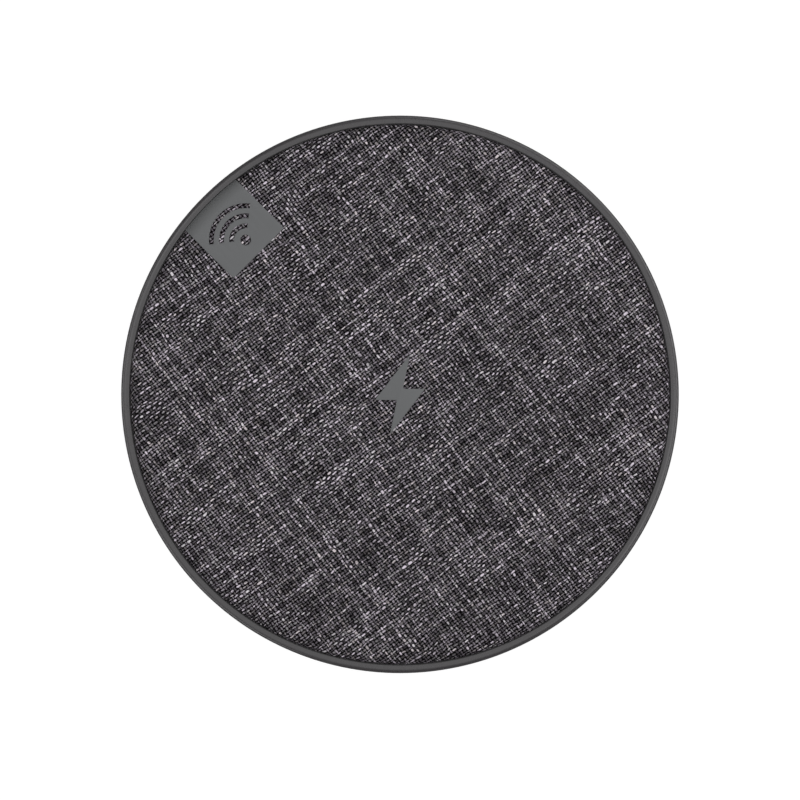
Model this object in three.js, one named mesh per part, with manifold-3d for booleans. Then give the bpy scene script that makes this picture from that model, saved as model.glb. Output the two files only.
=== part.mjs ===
// A round wireless charging pad with a cloth top, modelled as the pieces it comes apart into.
// Millimetres, +Z up. The origin is the centre of the plane that the pad stands on.
// The charging socket is at +Y, the status light at -Y and the corner tab between -X and +Y.

import * as THREE from 'three';
import { mergeVertices } from 'three/addons/utils/BufferGeometryUtils.js';
import Module from 'manifold-3d';

const wasm = await Module();
wasm.setup();

// ---------------------------------------------------------------- driving dimensions

// Outer ring
const padRadius = 55;
const ringTopBand = 1.6; // width of the ring's top, from its outer face to the cloth opening
const ringWall = 2.2; // wall below the ledge
const ringEdgeRadius = 1;
const ringLipChamfer = 0.15;
const ledgeWidth = 2.2; // shelf that the top plate rests on
const ledgeThickness = 1;

// Cloth top and its marks
const clothThickness = 0.55;
const clothProud = 0.6; // cloth above the ring
const clothEdgeRun = 1.4; // the cloth starts to turn down this far inside its edge
const clothEdgeDrop = 1.1;
const clothEdgeGap = 0.1; // between the cloth's skirt and the ring
const tabWidth = 14.1;
const tabReach = 15.6; // from the pad's outer face to the tab's inner edge
const tabThickness = 0.2;
const tabBearing = 135; // degrees from +X
const tabCornerRadius = 0.5;
const markThickness = 0.2;
const boltHeight = 15.8;
const boltWidth = 9.9;

// Housing
const footProud = 0.2; // the foot ring stands below the cover by this much
const footSeatDepth = 0.6;
const footWidth = 6;
const footInset = 2; // between the foot ring and the screw heads' recesses
const coverThickness = 1.4;
const coverGap = 0.15; // between the bottom cover and the outer ring
const rimThickness = 1.2;
const plateThickness = 1.3;
const filmThickness = 0.1; // each layer of double-sided film
const seatGap = 0.02; // between faces that rest on each other
const fitGap = 0.3; // round pieces that pass through a wall

// Coil and its shield
const wireDiameter = 1.15;
const turnGap = 0.09;
const coilTurns = 10;
const coilInnerRadius = 10.3; // middle of the wire on the first turn
const ferriteThickness = 1;
const ferriteMargin = 1.3; // ferrite beyond the coil
const leadSlotGap = 0.25;
const leadBendSide = 1.2; // how far the inner lead swings aside as it dips into the slot
const leadLane = 7.5; // the coil's leads reach the board this far either side of its middle
const leadBendRun = 6;
const leadShare = 0.92; // the leads' insulation is thinner than the turns'
const beadRadius = 0.75;
const sensorLeadDiameter = 0.6;

// Main board
const boardThickness = 1;
const boardLift = 0.35;
const boardHalfWidth = 20;
const boardLength = 34;
const boardEdgeGap = 0.3;
const componentRoom = 2.33; // between the board and the ferrite
const partClearance = 0.35; // between the tallest parts and the ferrite
const padInset = 2.7; // solder pads from the board's inner edge

// Charging socket, to the usual sizes of its standard
const shellWidth = 8.94;
const shellHeight = 3.2;
const shellWall = 0.3;
const shellLength = 7.35;
const shellStandoff = 0.1;
const shellRecess = 0.45; // from the ring's face to the mouth of the shell
const tongueWidth = 6.69;
const tongueThickness = 0.7;
const tongueLength = 4.45;
const socketBlockLength = 2;
const stakeWidth = 1;
const stakeThickness = 0.3;

// Status light
const windowWidth = 6.5;
const windowHeight = 1.75;
const windowGap = 0.1;
const guideFlange = 1; // the guide's flange stands out from the window by this much
const guideFlangeThickness = 0.9;
const lightWidth = 3.2;
const lightHeight = 1.6;
const lightDepth = 1.1;
const lightBoardWidth = 12;
const lightBoardHeight = 3.6;
const lightBoardThickness = 0.8;
const lightCableDiameter = 0.8;
const lightCableLane = 3.5;

// Screws
const coverScrewShankRadius = 1;
const coverScrewHeadRadius = 1.9;
const coverScrewHeadHeight = 1.1;
const coverScrewGrip = 2.6; // thread inside the top plate's boss
const coverBossRadius = 3.1;
const plateBossRadius = 2.4;
const bossRimGap = 0.6;
const coverBossHeight = 1.5;
const screwSeat = 1.1; // material between the screw's head and the boss's top
const boardScrewShankRadius = 0.7;
const boardScrewHeadRadius = 1.4;
const boardScrewHeadHeight = 0.7;
const boardScrewDepth = 1.1;
const boardScrewInset = 3.5;
const screwGap = 0.1;

// Facets
const roundFacets = 48;
const smallFacets = 16;
const spiralSteps = 16; // steps in each turn of the coil

// ---------------------------------------------------------------- sizes that follow

const ringBottomZ = footProud;
const floorZ = ringBottomZ + coverThickness;
const boardBottomZ = floorZ + boardLift;
const boardTopZ = boardBottomZ + boardThickness;
const ferriteBottomZ = boardTopZ + componentRoom;
const ferriteTopZ = ferriteBottomZ + ferriteThickness;
const filmLayer = filmThickness + 2 * seatGap;
const coilZ = ferriteTopZ + filmLayer + wireDiameter / 2;
const coilTopZ = coilZ + wireDiameter / 2;
const plateBottomZ = coilTopZ + filmLayer;
const plateTopZ = plateBottomZ + plateThickness;
const clothBottomZ = plateTopZ + filmLayer;
const clothTopZ = clothBottomZ + clothThickness;
const ringTopZ = clothTopZ - clothProud;
const ledgeTopZ = plateBottomZ - seatGap;
const ledgeBottomZ = ledgeTopZ - ledgeThickness;
const middleZ = (ringBottomZ + ringTopZ) / 2;

const openingRadius = padRadius - ringTopBand;
const ledgeRadius = openingRadius - ledgeWidth;
const wallRadius = padRadius - ringWall;
const clothRadius = openingRadius - clothEdgeGap;
const coverRadius = wallRadius - coverGap;
const cavityRadius = coverRadius - rimThickness;
const rimTopZ = ledgeBottomZ - seatGap;

const turnPitch = wireDiameter + turnGap;
const coilOuterRadius = coilInnerRadius + coilTurns * turnPitch;
const ferriteRadius = coilOuterRadius + wireDiameter / 2 + ferriteMargin;
const leadSlotWidth = 2 * leadBendSide + wireDiameter + leadSlotGap;

const screwCircleRadius = cavityRadius - bossRimGap - coverBossRadius;
const headRecessRadius = coverScrewHeadRadius + screwGap;
const footOuterRadius = screwCircleRadius - headRecessRadius - footInset;
const footInnerRadius = footOuterRadius - footWidth;

const boardArcRadius = cavityRadius - boardEdgeGap;
const boardFrontY = boardArcRadius - boardLength;
const shellFrontY = Math.sqrt(padRadius ** 2 - (shellWidth / 2) ** 2) - shellRecess;
const shellBackY = shellFrontY - shellLength;
const socketZ = boardTopZ + shellStandoff + shellHeight / 2;

// ---------------------------------------------------------------- making and cutting solids

// The geometry as a solid that can be cut and joined.
function solidOf(geometry) {
  const bare = geometry.index ? geometry.toNonIndexed() : geometry.clone();
  bare.deleteAttribute('normal');
  bare.deleteAttribute('uv');
  const merged = mergeVertices(bare, 1e-5);
  const corners = merged.index.array;
  const faces = [];
  for (let i = 0; i < corners.length; i += 3) {
    const [a, b, c] = [corners[i], corners[i + 1], corners[i + 2]];
    if (a !== b && b !== c && c !== a) faces.push(a, b, c);
  }
  return new wasm.Manifold(new wasm.Mesh({
    numProp: 3,
    vertProperties: new Float32Array(merged.attributes.position.array),
    triVerts: new Uint32Array(faces),
  }));
}

// The solid as a geometry that a mesh can show.
function geometryOf(solid) {
  const { vertProperties, triVerts } = solid.getMesh();
  const geometry = new THREE.BufferGeometry();
  geometry.setAttribute('position', new THREE.BufferAttribute(vertProperties, 3));
  geometry.setIndex(new THREE.BufferAttribute(triVerts, 1));
  geometry.computeVertexNormals();
  return geometry;
}

const join = (...solids) => solids.reduce((whole, next) => whole.add(next));
const cut = (base, ...tools) => tools.reduce((rest, tool) => rest.subtract(tool), base);

// A closed outline of [radius, z] corners, counterclockwise, turned about Z.
function turned(outline, facets = roundFacets) {
  const points = outline.map(([r, z]) => new THREE.Vector2(r, z));
  if (outline[0][0] > 0) points.push(points[0].clone());
  return solidOf(new THREE.LatheGeometry(points, facets).rotateX(Math.PI / 2));
}

// A round disc or, with a hole, a washer.
function disc(radius, bottom, top, facets = roundFacets) {
  return turned([[0, bottom], [radius, bottom], [radius, top], [0, top]], facets);
}

// A pin or a hole standing at x, y.
function pillar(radius, bottom, top, x, y, facets = smallFacets) {
  return disc(radius, bottom, top, facets).translate([x, y, 0]);
}

// A box between two corners.
function box([x0, y0, z0], [x1, y1, z1]) {
  const geometry = new THREE.BoxGeometry(x1 - x0, y1 - y0, z1 - z0);
  return solidOf(geometry.translate((x0 + x1) / 2, (y0 + y1) / 2, (z0 + z1) / 2));
}

// A flat shape standing on the level bottom.
function plate(shape, bottom, thickness, curveSegments = 12) {
  const options = { depth: thickness, bevelEnabled: false, curveSegments };
  return solidOf(new THREE.ExtrudeGeometry(shape, options).translate(0, 0, bottom));
}

// A slot-shaped bar along Y between two y, with round ends left and right.
function slotBar(width, height, y0, y1, z) {
  const radius = height / 2;
  const reach = width / 2 - radius;
  const shape = new THREE.Shape();
  shape.absarc(reach, 0, radius, -Math.PI / 2, Math.PI / 2, false);
  shape.absarc(-reach, 0, radius, Math.PI / 2, Math.PI * 1.5, false);
  const options = { depth: y1 - y0, bevelEnabled: false, curveSegments: 8 };
  const bar = new THREE.ExtrudeGeometry(shape, options);
  return solidOf(bar.rotateX(Math.PI / 2).translate(0, y1, z));
}

// A regular section for wires.
function wireSection(diameter, sides) {
  const corner = (i) => {
    const angle = (i + 0.5) * 2 * Math.PI / sides;
    return new THREE.Vector2(Math.cos(angle), Math.sin(angle)).multiplyScalar(diameter / 2);
  };
  return new THREE.Shape(Array.from({ length: sides }, (_, i) => corner(i)));
}

// A wire along a curve.
function wire(curve, diameter, steps, sides = 8) {
  const options = { steps, extrudePath: curve, bevelEnabled: false };
  return solidOf(new THREE.ExtrudeGeometry(wireSection(diameter, sides), options));
}

// A smooth wire through hand-chosen points.
function bentWire(points, diameter, steps, sides = 8) {
  const curve = new THREE.CatmullRomCurve3(points.map((p) => new THREE.Vector3(...p)));
  return wire(curve, diameter, steps, sides);
}

// A flat spiral, with its steps at even angles.
class FlatSpiral extends THREE.Curve {
  constructor(innerRadius, pitch, turns, startAngle, z) {
    super();
    Object.assign(this, { innerRadius, pitch, turns, startAngle, z });
  }

  getPoint(t, target = new THREE.Vector3()) {
    const turn = t * this.turns;
    const radius = this.innerRadius + this.pitch * turn;
    const angle = this.startAngle + 2 * Math.PI * turn;
    return target.set(radius * Math.cos(angle), radius * Math.sin(angle), this.z);
  }

  getUtoTmapping(u) {
    return u;
  }
}

// ---------------------------------------------------------------- materials and assembly

const finishes = {
  ringPlastic: { color: 0x4a484a, roughness: 0.38, metalness: 0 },
  coverPlastic: { color: 0x232325, roughness: 0.6, metalness: 0 },
  innerPlastic: { color: 0x2c2c2e, roughness: 0.55, metalness: 0 },
  cloth: { color: 0x4e4a4e, roughness: 0.95, metalness: 0 },
  softGrey: { color: 0x67696a, roughness: 0.7, metalness: 0 },
  silicone: { color: 0x1c1c1d, roughness: 0.8, metalness: 0 },
  film: { color: 0xd8d2c0, roughness: 0.6, metalness: 0 },
  copper: { color: 0xb5652f, roughness: 0.35, metalness: 0.9 },
  ferrite: { color: 0x2b2a29, roughness: 0.55, metalness: 0.1 },
  board: { color: 0x1d5a35, roughness: 0.45, metalness: 0 },
  chip: { color: 0x151516, roughness: 0.5, metalness: 0 },
  ceramic: { color: 0xa98f6c, roughness: 0.5, metalness: 0 },
  steel: { color: 0x9a9b9d, roughness: 0.3, metalness: 1 },
  socketBlack: { color: 0x101011, roughness: 0.5, metalness: 0 },
  lens: { color: 0x1e40a5, roughness: 0.25, metalness: 0, emissive: 0x1e40a5 },
  lamp: { color: 0xe9e4c8, roughness: 0.35, metalness: 0 },
  cable: { color: 0xb0382e, roughness: 0.6, metalness: 0 },
  bead: { color: 0x20201e, roughness: 0.4, metalness: 0 },
};

const chargingPad = new THREE.Group();

function addPiece(name, solid, finish) {
  const material = new THREE.MeshStandardMaterial(finishes[finish]);
  const mesh = new THREE.Mesh(geometryOf(solid), material);
  mesh.name = name;
  chargingPad.add(mesh);
}

// ---------------------------------------------------------------- outer ring

// Corners of a quarter ellipse between two angles in degrees.
function quarter(centreR, centreZ, reachR, reachZ, from, to, steps) {
  return Array.from({ length: steps + 1 }, (_, i) => {
    const angle = THREE.MathUtils.degToRad(from + (to - from) * i / steps);
    return [centreR + reachR * Math.cos(angle), centreZ + reachZ * Math.sin(angle)];
  });
}

function outerRing() {
  const edgeR = padRadius - ringEdgeRadius;
  const radius = ringEdgeRadius;
  const body = turned([
    [wallRadius, ringBottomZ],
    ...quarter(edgeR, ringBottomZ + radius, radius, radius, -90, 0, 3),
    ...quarter(edgeR, ringTopZ - radius, radius, radius, 0, 90, 3),
    [openingRadius + ringLipChamfer, ringTopZ],
    [openingRadius, ringTopZ - ringLipChamfer],
    [openingRadius, ledgeTopZ],
    [ledgeRadius, ledgeTopZ],
    [ledgeRadius, ledgeBottomZ],
    [wallRadius, ledgeBottomZ],
  ]);
  const beyond = padRadius + 1;
  const inside = ledgeRadius - 1;
  const slot = 2 * fitGap;
  const socket = slotBar(shellWidth + slot, shellHeight + slot, inside, beyond, socketZ);
  const gap = 2 * windowGap;
  const light = slotBar(windowWidth + gap, windowHeight + gap, -beyond, -inside, middleZ);
  return cut(body, socket, light);
}

// ---------------------------------------------------------------- cloth top

// The cloth's section from its skirt to the middle, moved inwards by depth.
function clothLine(depth, skirtZ, steps = 5) {
  const centreR = clothRadius - clothEdgeRun;
  const centreZ = clothTopZ - clothEdgeDrop;
  const [reachR, reachZ] = [clothEdgeRun - depth, clothEdgeDrop - depth];
  return [
    [clothRadius - depth, skirtZ],
    ...quarter(centreR, centreZ, reachR, reachZ, 0, 90, steps),
    [0, clothTopZ - depth],
  ];
}

function clothTop() {
  const skirtZ = ledgeTopZ + clothEdgeGap;
  const inner = clothLine(clothThickness, skirtZ).reverse();
  return turned([...inner, ...clothLine(0, skirtZ)]);
}

// A generic wireless sign: a dot and arcs, opening towards the pad's outer edge.
function wirelessSign() {
  const dotRadius = 1.05;
  const arcWidth = 0.95;
  const halfSpan = THREE.MathUtils.degToRad(52);
  const dot = new THREE.Shape();
  dot.absarc(0, 0, dotRadius, 0, 2 * Math.PI, false);
  const arcs = [2.3, 4.3, 6.3].map((inner) => {
    const arc = new THREE.Shape();
    arc.absarc(0, 0, inner, -halfSpan, halfSpan, false);
    arc.absarc(0, 0, inner + arcWidth, halfSpan, -halfSpan, true);
    return arc;
  });
  return [dot, ...arcs];
}

function cornerTab() {
  const under = -seatGap;
  const over = under - tabThickness;
  const startZ = ringTopZ - clothEdgeDrop / 4;
  const skin = turned([...clothLine(under, startZ).reverse(), ...clothLine(over, startZ)]);
  const innerX = padRadius - tabReach;
  const half = tabWidth / 2;
  const outline = new THREE.Shape();
  outline.moveTo(padRadius, -half);
  outline.lineTo(padRadius, half);
  const [cornerX, cornerY] = [innerX + tabCornerRadius, half - tabCornerRadius];
  outline.absarc(cornerX, cornerY, tabCornerRadius, Math.PI / 2, Math.PI, false);
  outline.absarc(cornerX, -cornerY, tabCornerRadius, Math.PI, Math.PI * 1.5, false);
  const stamp = plate(outline, ringTopZ + seatGap, clothProud + 1, 4);
  const signX = innerX + tabWidth / 2 - 3.4;
  const sign = wirelessSign().map((shape) => (
    plate(shape, ringTopZ, clothProud + 1, 10).translate([signX, 0, 0])
  ));
  const flat = cut(stamp, ...sign);
  return skin.intersect(flat.rotate([0, 0, tabBearing]));
}

// A lightning bolt between the width and height that are given.
function centreMark() {
  const corners = [
    [0.2, 0.5], [-0.5, -0.07], [-0.06, -0.07], [-0.2, -0.5], [0.5, 0.07], [0.06, 0.07],
  ];
  const shape = new THREE.Shape(
    corners.map(([x, y]) => new THREE.Vector2(x * boltWidth, y * boltHeight)),
  );
  return plate(shape, clothTopZ + seatGap, markThickness);
}

// ---------------------------------------------------------------- housing

// The four cover screws' places.
const screwPlaces = [45, 135, 225, 315].map((degrees) => {
  const angle = THREE.MathUtils.degToRad(degrees);
  return [screwCircleRadius * Math.cos(angle), screwCircleRadius * Math.sin(angle)];
});
const coverBossTopZ = floorZ + coverBossHeight;
const headSeatZ = coverBossTopZ - screwSeat;
const screwTipZ = coverBossTopZ + coverScrewGrip;
const plateBossBottomZ = coverBossTopZ + seatGap;
const pilotRadius = coverScrewShankRadius + screwGap;

function topPlate() {
  const depth = clothThickness + filmLayer;
  const sheet = turned([
    [0, plateBottomZ],
    [clothRadius - depth, plateBottomZ],
    ...clothLine(depth, plateBottomZ + seatGap, 3),
  ]);
  const bosses = screwPlaces.map(([x, y]) => (
    pillar(plateBossRadius, plateBossBottomZ, plateBottomZ + plateThickness / 2, x, y)
  ));
  const pilots = screwPlaces.map(([x, y]) => (
    pillar(pilotRadius, plateBossBottomZ - 1, screwTipZ + screwGap, x, y)
  ));
  return cut(join(sheet, ...bosses), ...pilots);
}

// The board's two screws and two rear rests.
const boardScrewPlaces = [-1, 1].map((side) => (
  [side * (boardHalfWidth - boardScrewInset), boardFrontY + boardScrewInset]
));
const boardRestPlaces = [-1, 1].map((side) => (
  [side * (boardHalfWidth - boardScrewInset), shellBackY - boardScrewInset]
));
const boardScrewTipZ = boardBottomZ - boardScrewDepth;

// The light's board stands across -Y, behind the guide's flange.
const flangeHalfWidth = windowWidth / 2 + guideFlange;
const guideFrontY = -(Math.sqrt(wallRadius ** 2 - flangeHalfWidth ** 2) - windowGap);
const guideBackY = guideFrontY + guideFlangeThickness;
const lightFrontY = guideBackY + windowGap;
const lightBackY = lightFrontY + lightDepth;
const lightBoardFrontY = lightBackY + seatGap;
const lightBoardBackY = lightBoardFrontY + lightBoardThickness;
const lightBoardBottomZ = middleZ - lightBoardHeight / 2;
const lightBoardTopZ = middleZ + lightBoardHeight / 2;

// Posts with a groove that hold the light's board upright.
function lightHolder() {
  const [grip, wall] = [1, 0.9];
  const half = lightBoardWidth / 2;
  const front = lightBoardFrontY - wall;
  const back = lightBoardBackY + wall;
  const posts = [-1, 1].map((side) => {
    const [near, far] = [side * (half - grip), side * (half + wall)];
    const [x0, x1] = [Math.min(near, far), Math.max(near, far)];
    return box([x0, front, floorZ - seatGap], [x1, back, Math.min(lightBoardTopZ, rimTopZ)]);
  });
  const groove = box(
    [-half - screwGap, lightBoardFrontY - screwGap, lightBoardBottomZ - screwGap],
    [half + screwGap, lightBoardBackY + screwGap, lightBoardTopZ + 1],
  );
  return posts.map((post) => cut(post, groove));
}

function bottomCover() {
  const seatZ = ringBottomZ + footSeatDepth;
  const shell = turned([
    [0, ringBottomZ],
    [footInnerRadius - coverGap, ringBottomZ],
    [footInnerRadius - coverGap, seatZ],
    [footOuterRadius + coverGap, seatZ],
    [footOuterRadius + coverGap, ringBottomZ],
    [coverRadius, ringBottomZ],
    [coverRadius, rimTopZ],
    [cavityRadius, rimTopZ],
    [cavityRadius, floorZ],
    [0, floorZ],
  ]);
  const bosses = screwPlaces.map(([x, y]) => (
    pillar(coverBossRadius, floorZ - seatGap, coverBossTopZ, x, y)
  ));
  const restTopZ = boardBottomZ - seatGap;
  const rests = [...boardScrewPlaces, ...boardRestPlaces].map(([x, y]) => (
    pillar(boardScrewHeadRadius + 0.8, floorZ - seatGap, restTopZ, x, y)
  ));
  const heads = screwPlaces.map(([x, y]) => (
    pillar(headRecessRadius, ringBottomZ - 1, headSeatZ, x, y)
  ));
  const shanks = screwPlaces.map(([x, y]) => (
    pillar(pilotRadius, ringBottomZ, coverBossTopZ + 1, x, y)
  ));
  const boardPilots = boardScrewPlaces.map(([x, y]) => (
    pillar(boardScrewShankRadius + screwGap, boardScrewTipZ - screwGap, boardTopZ, x, y)
  ));
  const notchHalf = shellWidth / 2 + fitGap;
  const socketNotch = box(
    [-notchHalf, cavityRadius - 2, socketZ - shellHeight / 2 - fitGap],
    [notchHalf, padRadius, rimTopZ + 1],
  );
  const lightNotch = box(
    [-flangeHalfWidth - fitGap, -padRadius, middleZ - windowHeight / 2 - guideFlange - fitGap],
    [flangeHalfWidth + fitGap, lightBackY, rimTopZ + 1],
  );
  const whole = join(shell, ...bosses, ...rests, ...lightHolder());
  return cut(whole, ...heads, ...shanks, ...boardPilots, socketNotch, lightNotch);
}

function footRing() {
  const top = ringBottomZ + footSeatDepth - seatGap;
  const bevel = 0.12;
  return turned([
    [footInnerRadius + bevel, 0],
    [footOuterRadius - bevel, 0],
    [footOuterRadius, bevel],
    [footOuterRadius, top],
    [footInnerRadius, top],
    [footInnerRadius, bevel],
  ]);
}

// A screw with its head below or above, driven by a cross recess.
function screw({ shankRadius, headRadius, headHeight, seatZ, tipZ }) {
  const up = Math.sign(tipZ - seatZ);
  const headZ = seatZ - up * headHeight;
  const crown = up * headHeight * 0.35;
  const outline = [
    [0, headZ],
    [headRadius * 0.7, headZ],
    [headRadius, headZ + crown],
    [headRadius, seatZ - up * seatGap],
    [shankRadius, seatZ - up * seatGap],
    [shankRadius, tipZ - up * shankRadius * 0.6],
    [0, tipZ],
  ];
  const body = turned(up > 0 ? outline : outline.reverse(), smallFacets);
  const [long, thin, deep] = [headRadius * 0.55, headRadius * 0.11, headHeight * 0.6];
  const [z0, z1] = [headZ - deep, headZ + deep];
  const cross = [[long, thin], [thin, long]].map(([x, y]) => box([-x, -y, z0], [x, y, z1]));
  return cut(body, ...cross);
}

// ---------------------------------------------------------------- coil and shield

const slotAngle = Math.atan2(coilOuterRadius, leadLane);
const innerPadY = Math.max(boardFrontY + padInset, coilInnerRadius + leadBendRun + padInset);
const outerPadY = Math.max(boardFrontY + padInset, ferriteRadius + padInset);

// A disc with an open slot from its middle outwards, for the inner lead.
function slottedDisc(radius, bottom, top) {
  const half = leadSlotWidth / 2;
  const slot = box([-half, -half, bottom - 1], [radius + 1, half, top + 1]);
  return cut(disc(radius, bottom, top), slot.rotate([0, 0, THREE.MathUtils.radToDeg(slotAngle)]));
}

function transmitterCoil() {
  const spiral = new FlatSpiral(coilInnerRadius, turnPitch, coilTurns, slotAngle, coilZ);
  const turns = wire(spiral, wireDiameter, coilTurns * spiralSteps, 6);
  const overlap = 0.03 / coilTurns;
  const at = (t) => spiral.getPoint(t).toArray();
  const along = (radius, side, z) => [
    radius * Math.cos(slotAngle) + side * Math.sin(slotAngle),
    radius * Math.sin(slotAngle) - side * Math.cos(slotAngle),
    z,
  ];
  const slotZ = ferriteTopZ - wireDiameter / 2;
  const padZ = boardTopZ + seatGap;
  const inner = bentWire([
    at(overlap),
    at(0),
    along(coilInnerRadius - 0.5, leadBendSide - 0.1, coilZ - 0.15),
    along(coilInnerRadius + 0.3, leadBendSide, (coilZ + slotZ) / 2),
    along(coilInnerRadius + 2, 0.2, slotZ),
    along(coilInnerRadius + leadBendRun, 0, slotZ),
    [leadLane, innerPadY - 0.9, slotZ - 0.7],
    [leadLane, innerPadY, padZ + 0.7],
    [leadLane, innerPadY, padZ],
  ], wireDiameter * leadShare, 24, 6);
  const outer = bentWire([
    at(1 - overlap),
    at(1),
    along(coilOuterRadius + 0.3, -3.5, coilZ),
    along(coilOuterRadius + 2.2, -7, coilZ - 0.4),
    [-leadLane + 0.6, outerPadY - 0.6, (coilZ + padZ) / 2],
    [-leadLane, outerPadY, padZ + 0.7],
    [-leadLane, outerPadY, padZ],
  ], wireDiameter * leadShare, 18, 6);
  return join(turns, inner, outer);
}

// A temperature sensor in the middle of the coil, with its lead to the board.
function coilSensor() {
  const beadZ = coilTopZ - beadRadius;
  const bead = solidOf(new THREE.SphereGeometry(beadRadius, 12, 8).translate(0, 0, beadZ));
  const runZ = ferriteBottomZ - 0.8;
  const padZ = boardTopZ + seatGap;
  const lead = bentWire([
    [0, 0, beadZ],
    [0, 0, ferriteBottomZ + 0.2],
    [0, 1.5, runZ],
    [0, boardFrontY - 2, runZ],
    [0, boardFrontY + padInset - 1.2, runZ - 0.2],
    [0, boardFrontY + padInset, padZ + 0.6],
    [0, boardFrontY + padInset, padZ],
  ], sensorLeadDiameter, 18, 6);
  return join(bead, lead);
}

// ---------------------------------------------------------------- main board

function mainBoard() {
  const sideAngle = Math.acos(boardHalfWidth / boardArcRadius);
  const outline = new THREE.Shape();
  outline.moveTo(-boardHalfWidth, boardFrontY);
  outline.lineTo(boardHalfWidth, boardFrontY);
  outline.absarc(0, 0, boardArcRadius, sideAngle, Math.PI - sideAngle, false);
  const blank = plate(outline, boardBottomZ, boardThickness, 16);
  const holes = boardScrewPlaces.map(([x, y]) => (
    pillar(boardScrewShankRadius + screwGap, boardBottomZ - 1, boardTopZ + 1, x, y)
  ));
  return cut(blank, ...holes, ...stakes(fitGap, boardBottomZ - 1));
}

// The shell's four stakes, or with a gap the slots that they stand in.
function stakes(gap, bottom) {
  const outer = shellWidth / 2;
  const places = [1, 2.8].flatMap((run) => [[-1, shellBackY + run], [1, shellBackY + run]]);
  return places.map(([side, y]) => {
    const [near, far] = [side * (outer - stakeThickness - gap), side * (outer + gap)];
    const half = stakeWidth / 2 + gap;
    return box(
      [Math.min(near, far), y - half, bottom],
      [Math.max(near, far), y + half, socketZ - shellHeight / 4],
    );
  });
}

function socketShell() {
  const outer = slotBar(shellWidth, shellHeight, shellBackY, shellFrontY, socketZ);
  const [width, height] = [shellWidth - 2 * shellWall, shellHeight - 2 * shellWall];
  const bore = slotBar(width, height, shellBackY - 1, shellFrontY + 1, socketZ);
  return cut(join(outer, ...stakes(0, boardBottomZ + seatGap)), bore);
}

function socketInsulator() {
  const slack = 2 * (shellWall + seatGap);
  const blockEndY = shellBackY + socketBlockLength;
  const [width, height] = [shellWidth - slack, shellHeight - slack];
  const block = slotBar(width, height, shellBackY + seatGap, blockEndY, socketZ);
  const [half, thick] = [tongueWidth / 2, tongueThickness / 2];
  const tongue = box(
    [-half, blockEndY - 0.5, socketZ - thick],
    [half, blockEndY + tongueLength, socketZ + thick],
  );
  return join(block, tongue);
}

// Parts on the board: name, size and place, x and the distance inwards from the socket.
const tallest = componentRoom - partClearance;
const boardParts = [
  ['input_capacitor_left', [3.2, 1.6, 1.6], -12.5, 4, 'ceramic'],
  ['input_capacitor_right', [3.2, 1.6, 1.6], 8, 1.8, 'ceramic'],
  ['power_request_chip', [4, 4, 0.85], 0, 4.5, 'chip'],
  ['supply_inductor', [6, 6, tallest], 12.8, 6.5, 'chip'],
  ['transmitter_controller', [7, 7, 0.9], 0, 14.5, 'chip'],
  ['half_bridge_front', [5, 6, 1], -13, 17.5, 'chip'],
  ['half_bridge_rear', [5, 6, 1], -13, 10, 'chip'],
  ['timing_crystal', [3.2, 2.5, 0.8], 0, 21, 'steel'],
  ['current_sense_resistor', [3.2, 1.6, 0.6], 11, 13, 'chip'],
  ['resonant_capacitor_1', [3.2, 2.5, tallest], 11, 17, 'ceramic'],
  ['resonant_capacitor_2', [3.2, 2.5, tallest], 15.2, 17, 'ceramic'],
  ['resonant_capacitor_3', [3.2, 2.5, tallest], 11, 20.5, 'ceramic'],
  ['resonant_capacitor_4', [3.2, 2.5, tallest], 15.2, 20.5, 'ceramic'],
];

function boardPart([width, depth, height], x, inwards) {
  const y = shellBackY - inwards;
  const bottom = boardTopZ + seatGap;
  const top = bottom + Math.min(height, tallest);
  return box([x - width / 2, y - depth / 2, bottom], [x + width / 2, y + depth / 2, top]);
}

// ---------------------------------------------------------------- status light

function lightGuide() {
  const front = slotBar(windowWidth, windowHeight, -padRadius - 1, guideBackY, middleZ);
  const lens = front.intersect(disc(padRadius - seatGap, 0, clothTopZ));
  const grown = 2 * guideFlange;
  const [width, height] = [windowWidth + grown, windowHeight + grown];
  const flange = slotBar(width, height, guideFrontY, guideBackY, middleZ);
  const underLedge = box([-width, guideFrontY - 1, rimTopZ], [width, guideBackY + 1, clothTopZ]);
  return join(lens, cut(flange, underLedge));
}

function statusLight() {
  return box(
    [-lightWidth / 2, lightFrontY, middleZ - lightHeight / 2],
    [lightWidth / 2, lightBackY, middleZ + lightHeight / 2],
  );
}

function lightBoard() {
  const half = lightBoardWidth / 2;
  return box([-half, lightBoardFrontY, lightBoardBottomZ], [half, lightBoardBackY, lightBoardTopZ]);
}

function lightCable() {
  const x = lightCableLane;
  const startY = lightBoardBackY + seatGap;
  const lowZ = floorZ + lightCableDiameter / 2 + screwGap;
  const padZ = boardTopZ + seatGap;
  return bentWire([
    [x, startY, middleZ - 0.8],
    [x, startY + 1.2, middleZ - 0.9],
    [x, startY + 3.4, lowZ + 0.2],
    [x, startY + 6, lowZ],
    [x, startY + 9, lowZ],
    [x, boardFrontY - 8, lowZ],
    [x, boardFrontY - 5, lowZ],
    [x, boardFrontY - 2.2, lowZ + 0.5],
    [x, boardFrontY - 0.6, boardTopZ + 0.7],
    [x, boardFrontY + padInset - 1, boardTopZ + 1],
    [x, boardFrontY + padInset, padZ + 0.6],
    [x, boardFrontY + padInset, padZ],
  ], lightCableDiameter, 30, 6);
}

// ---------------------------------------------------------------- the pad

// A layer of double-sided film on the face at a level.
function film(shapeOf, radius, level) {
  const bottom = level + seatGap;
  return shapeOf(radius, bottom, bottom + filmThickness);
}

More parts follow.
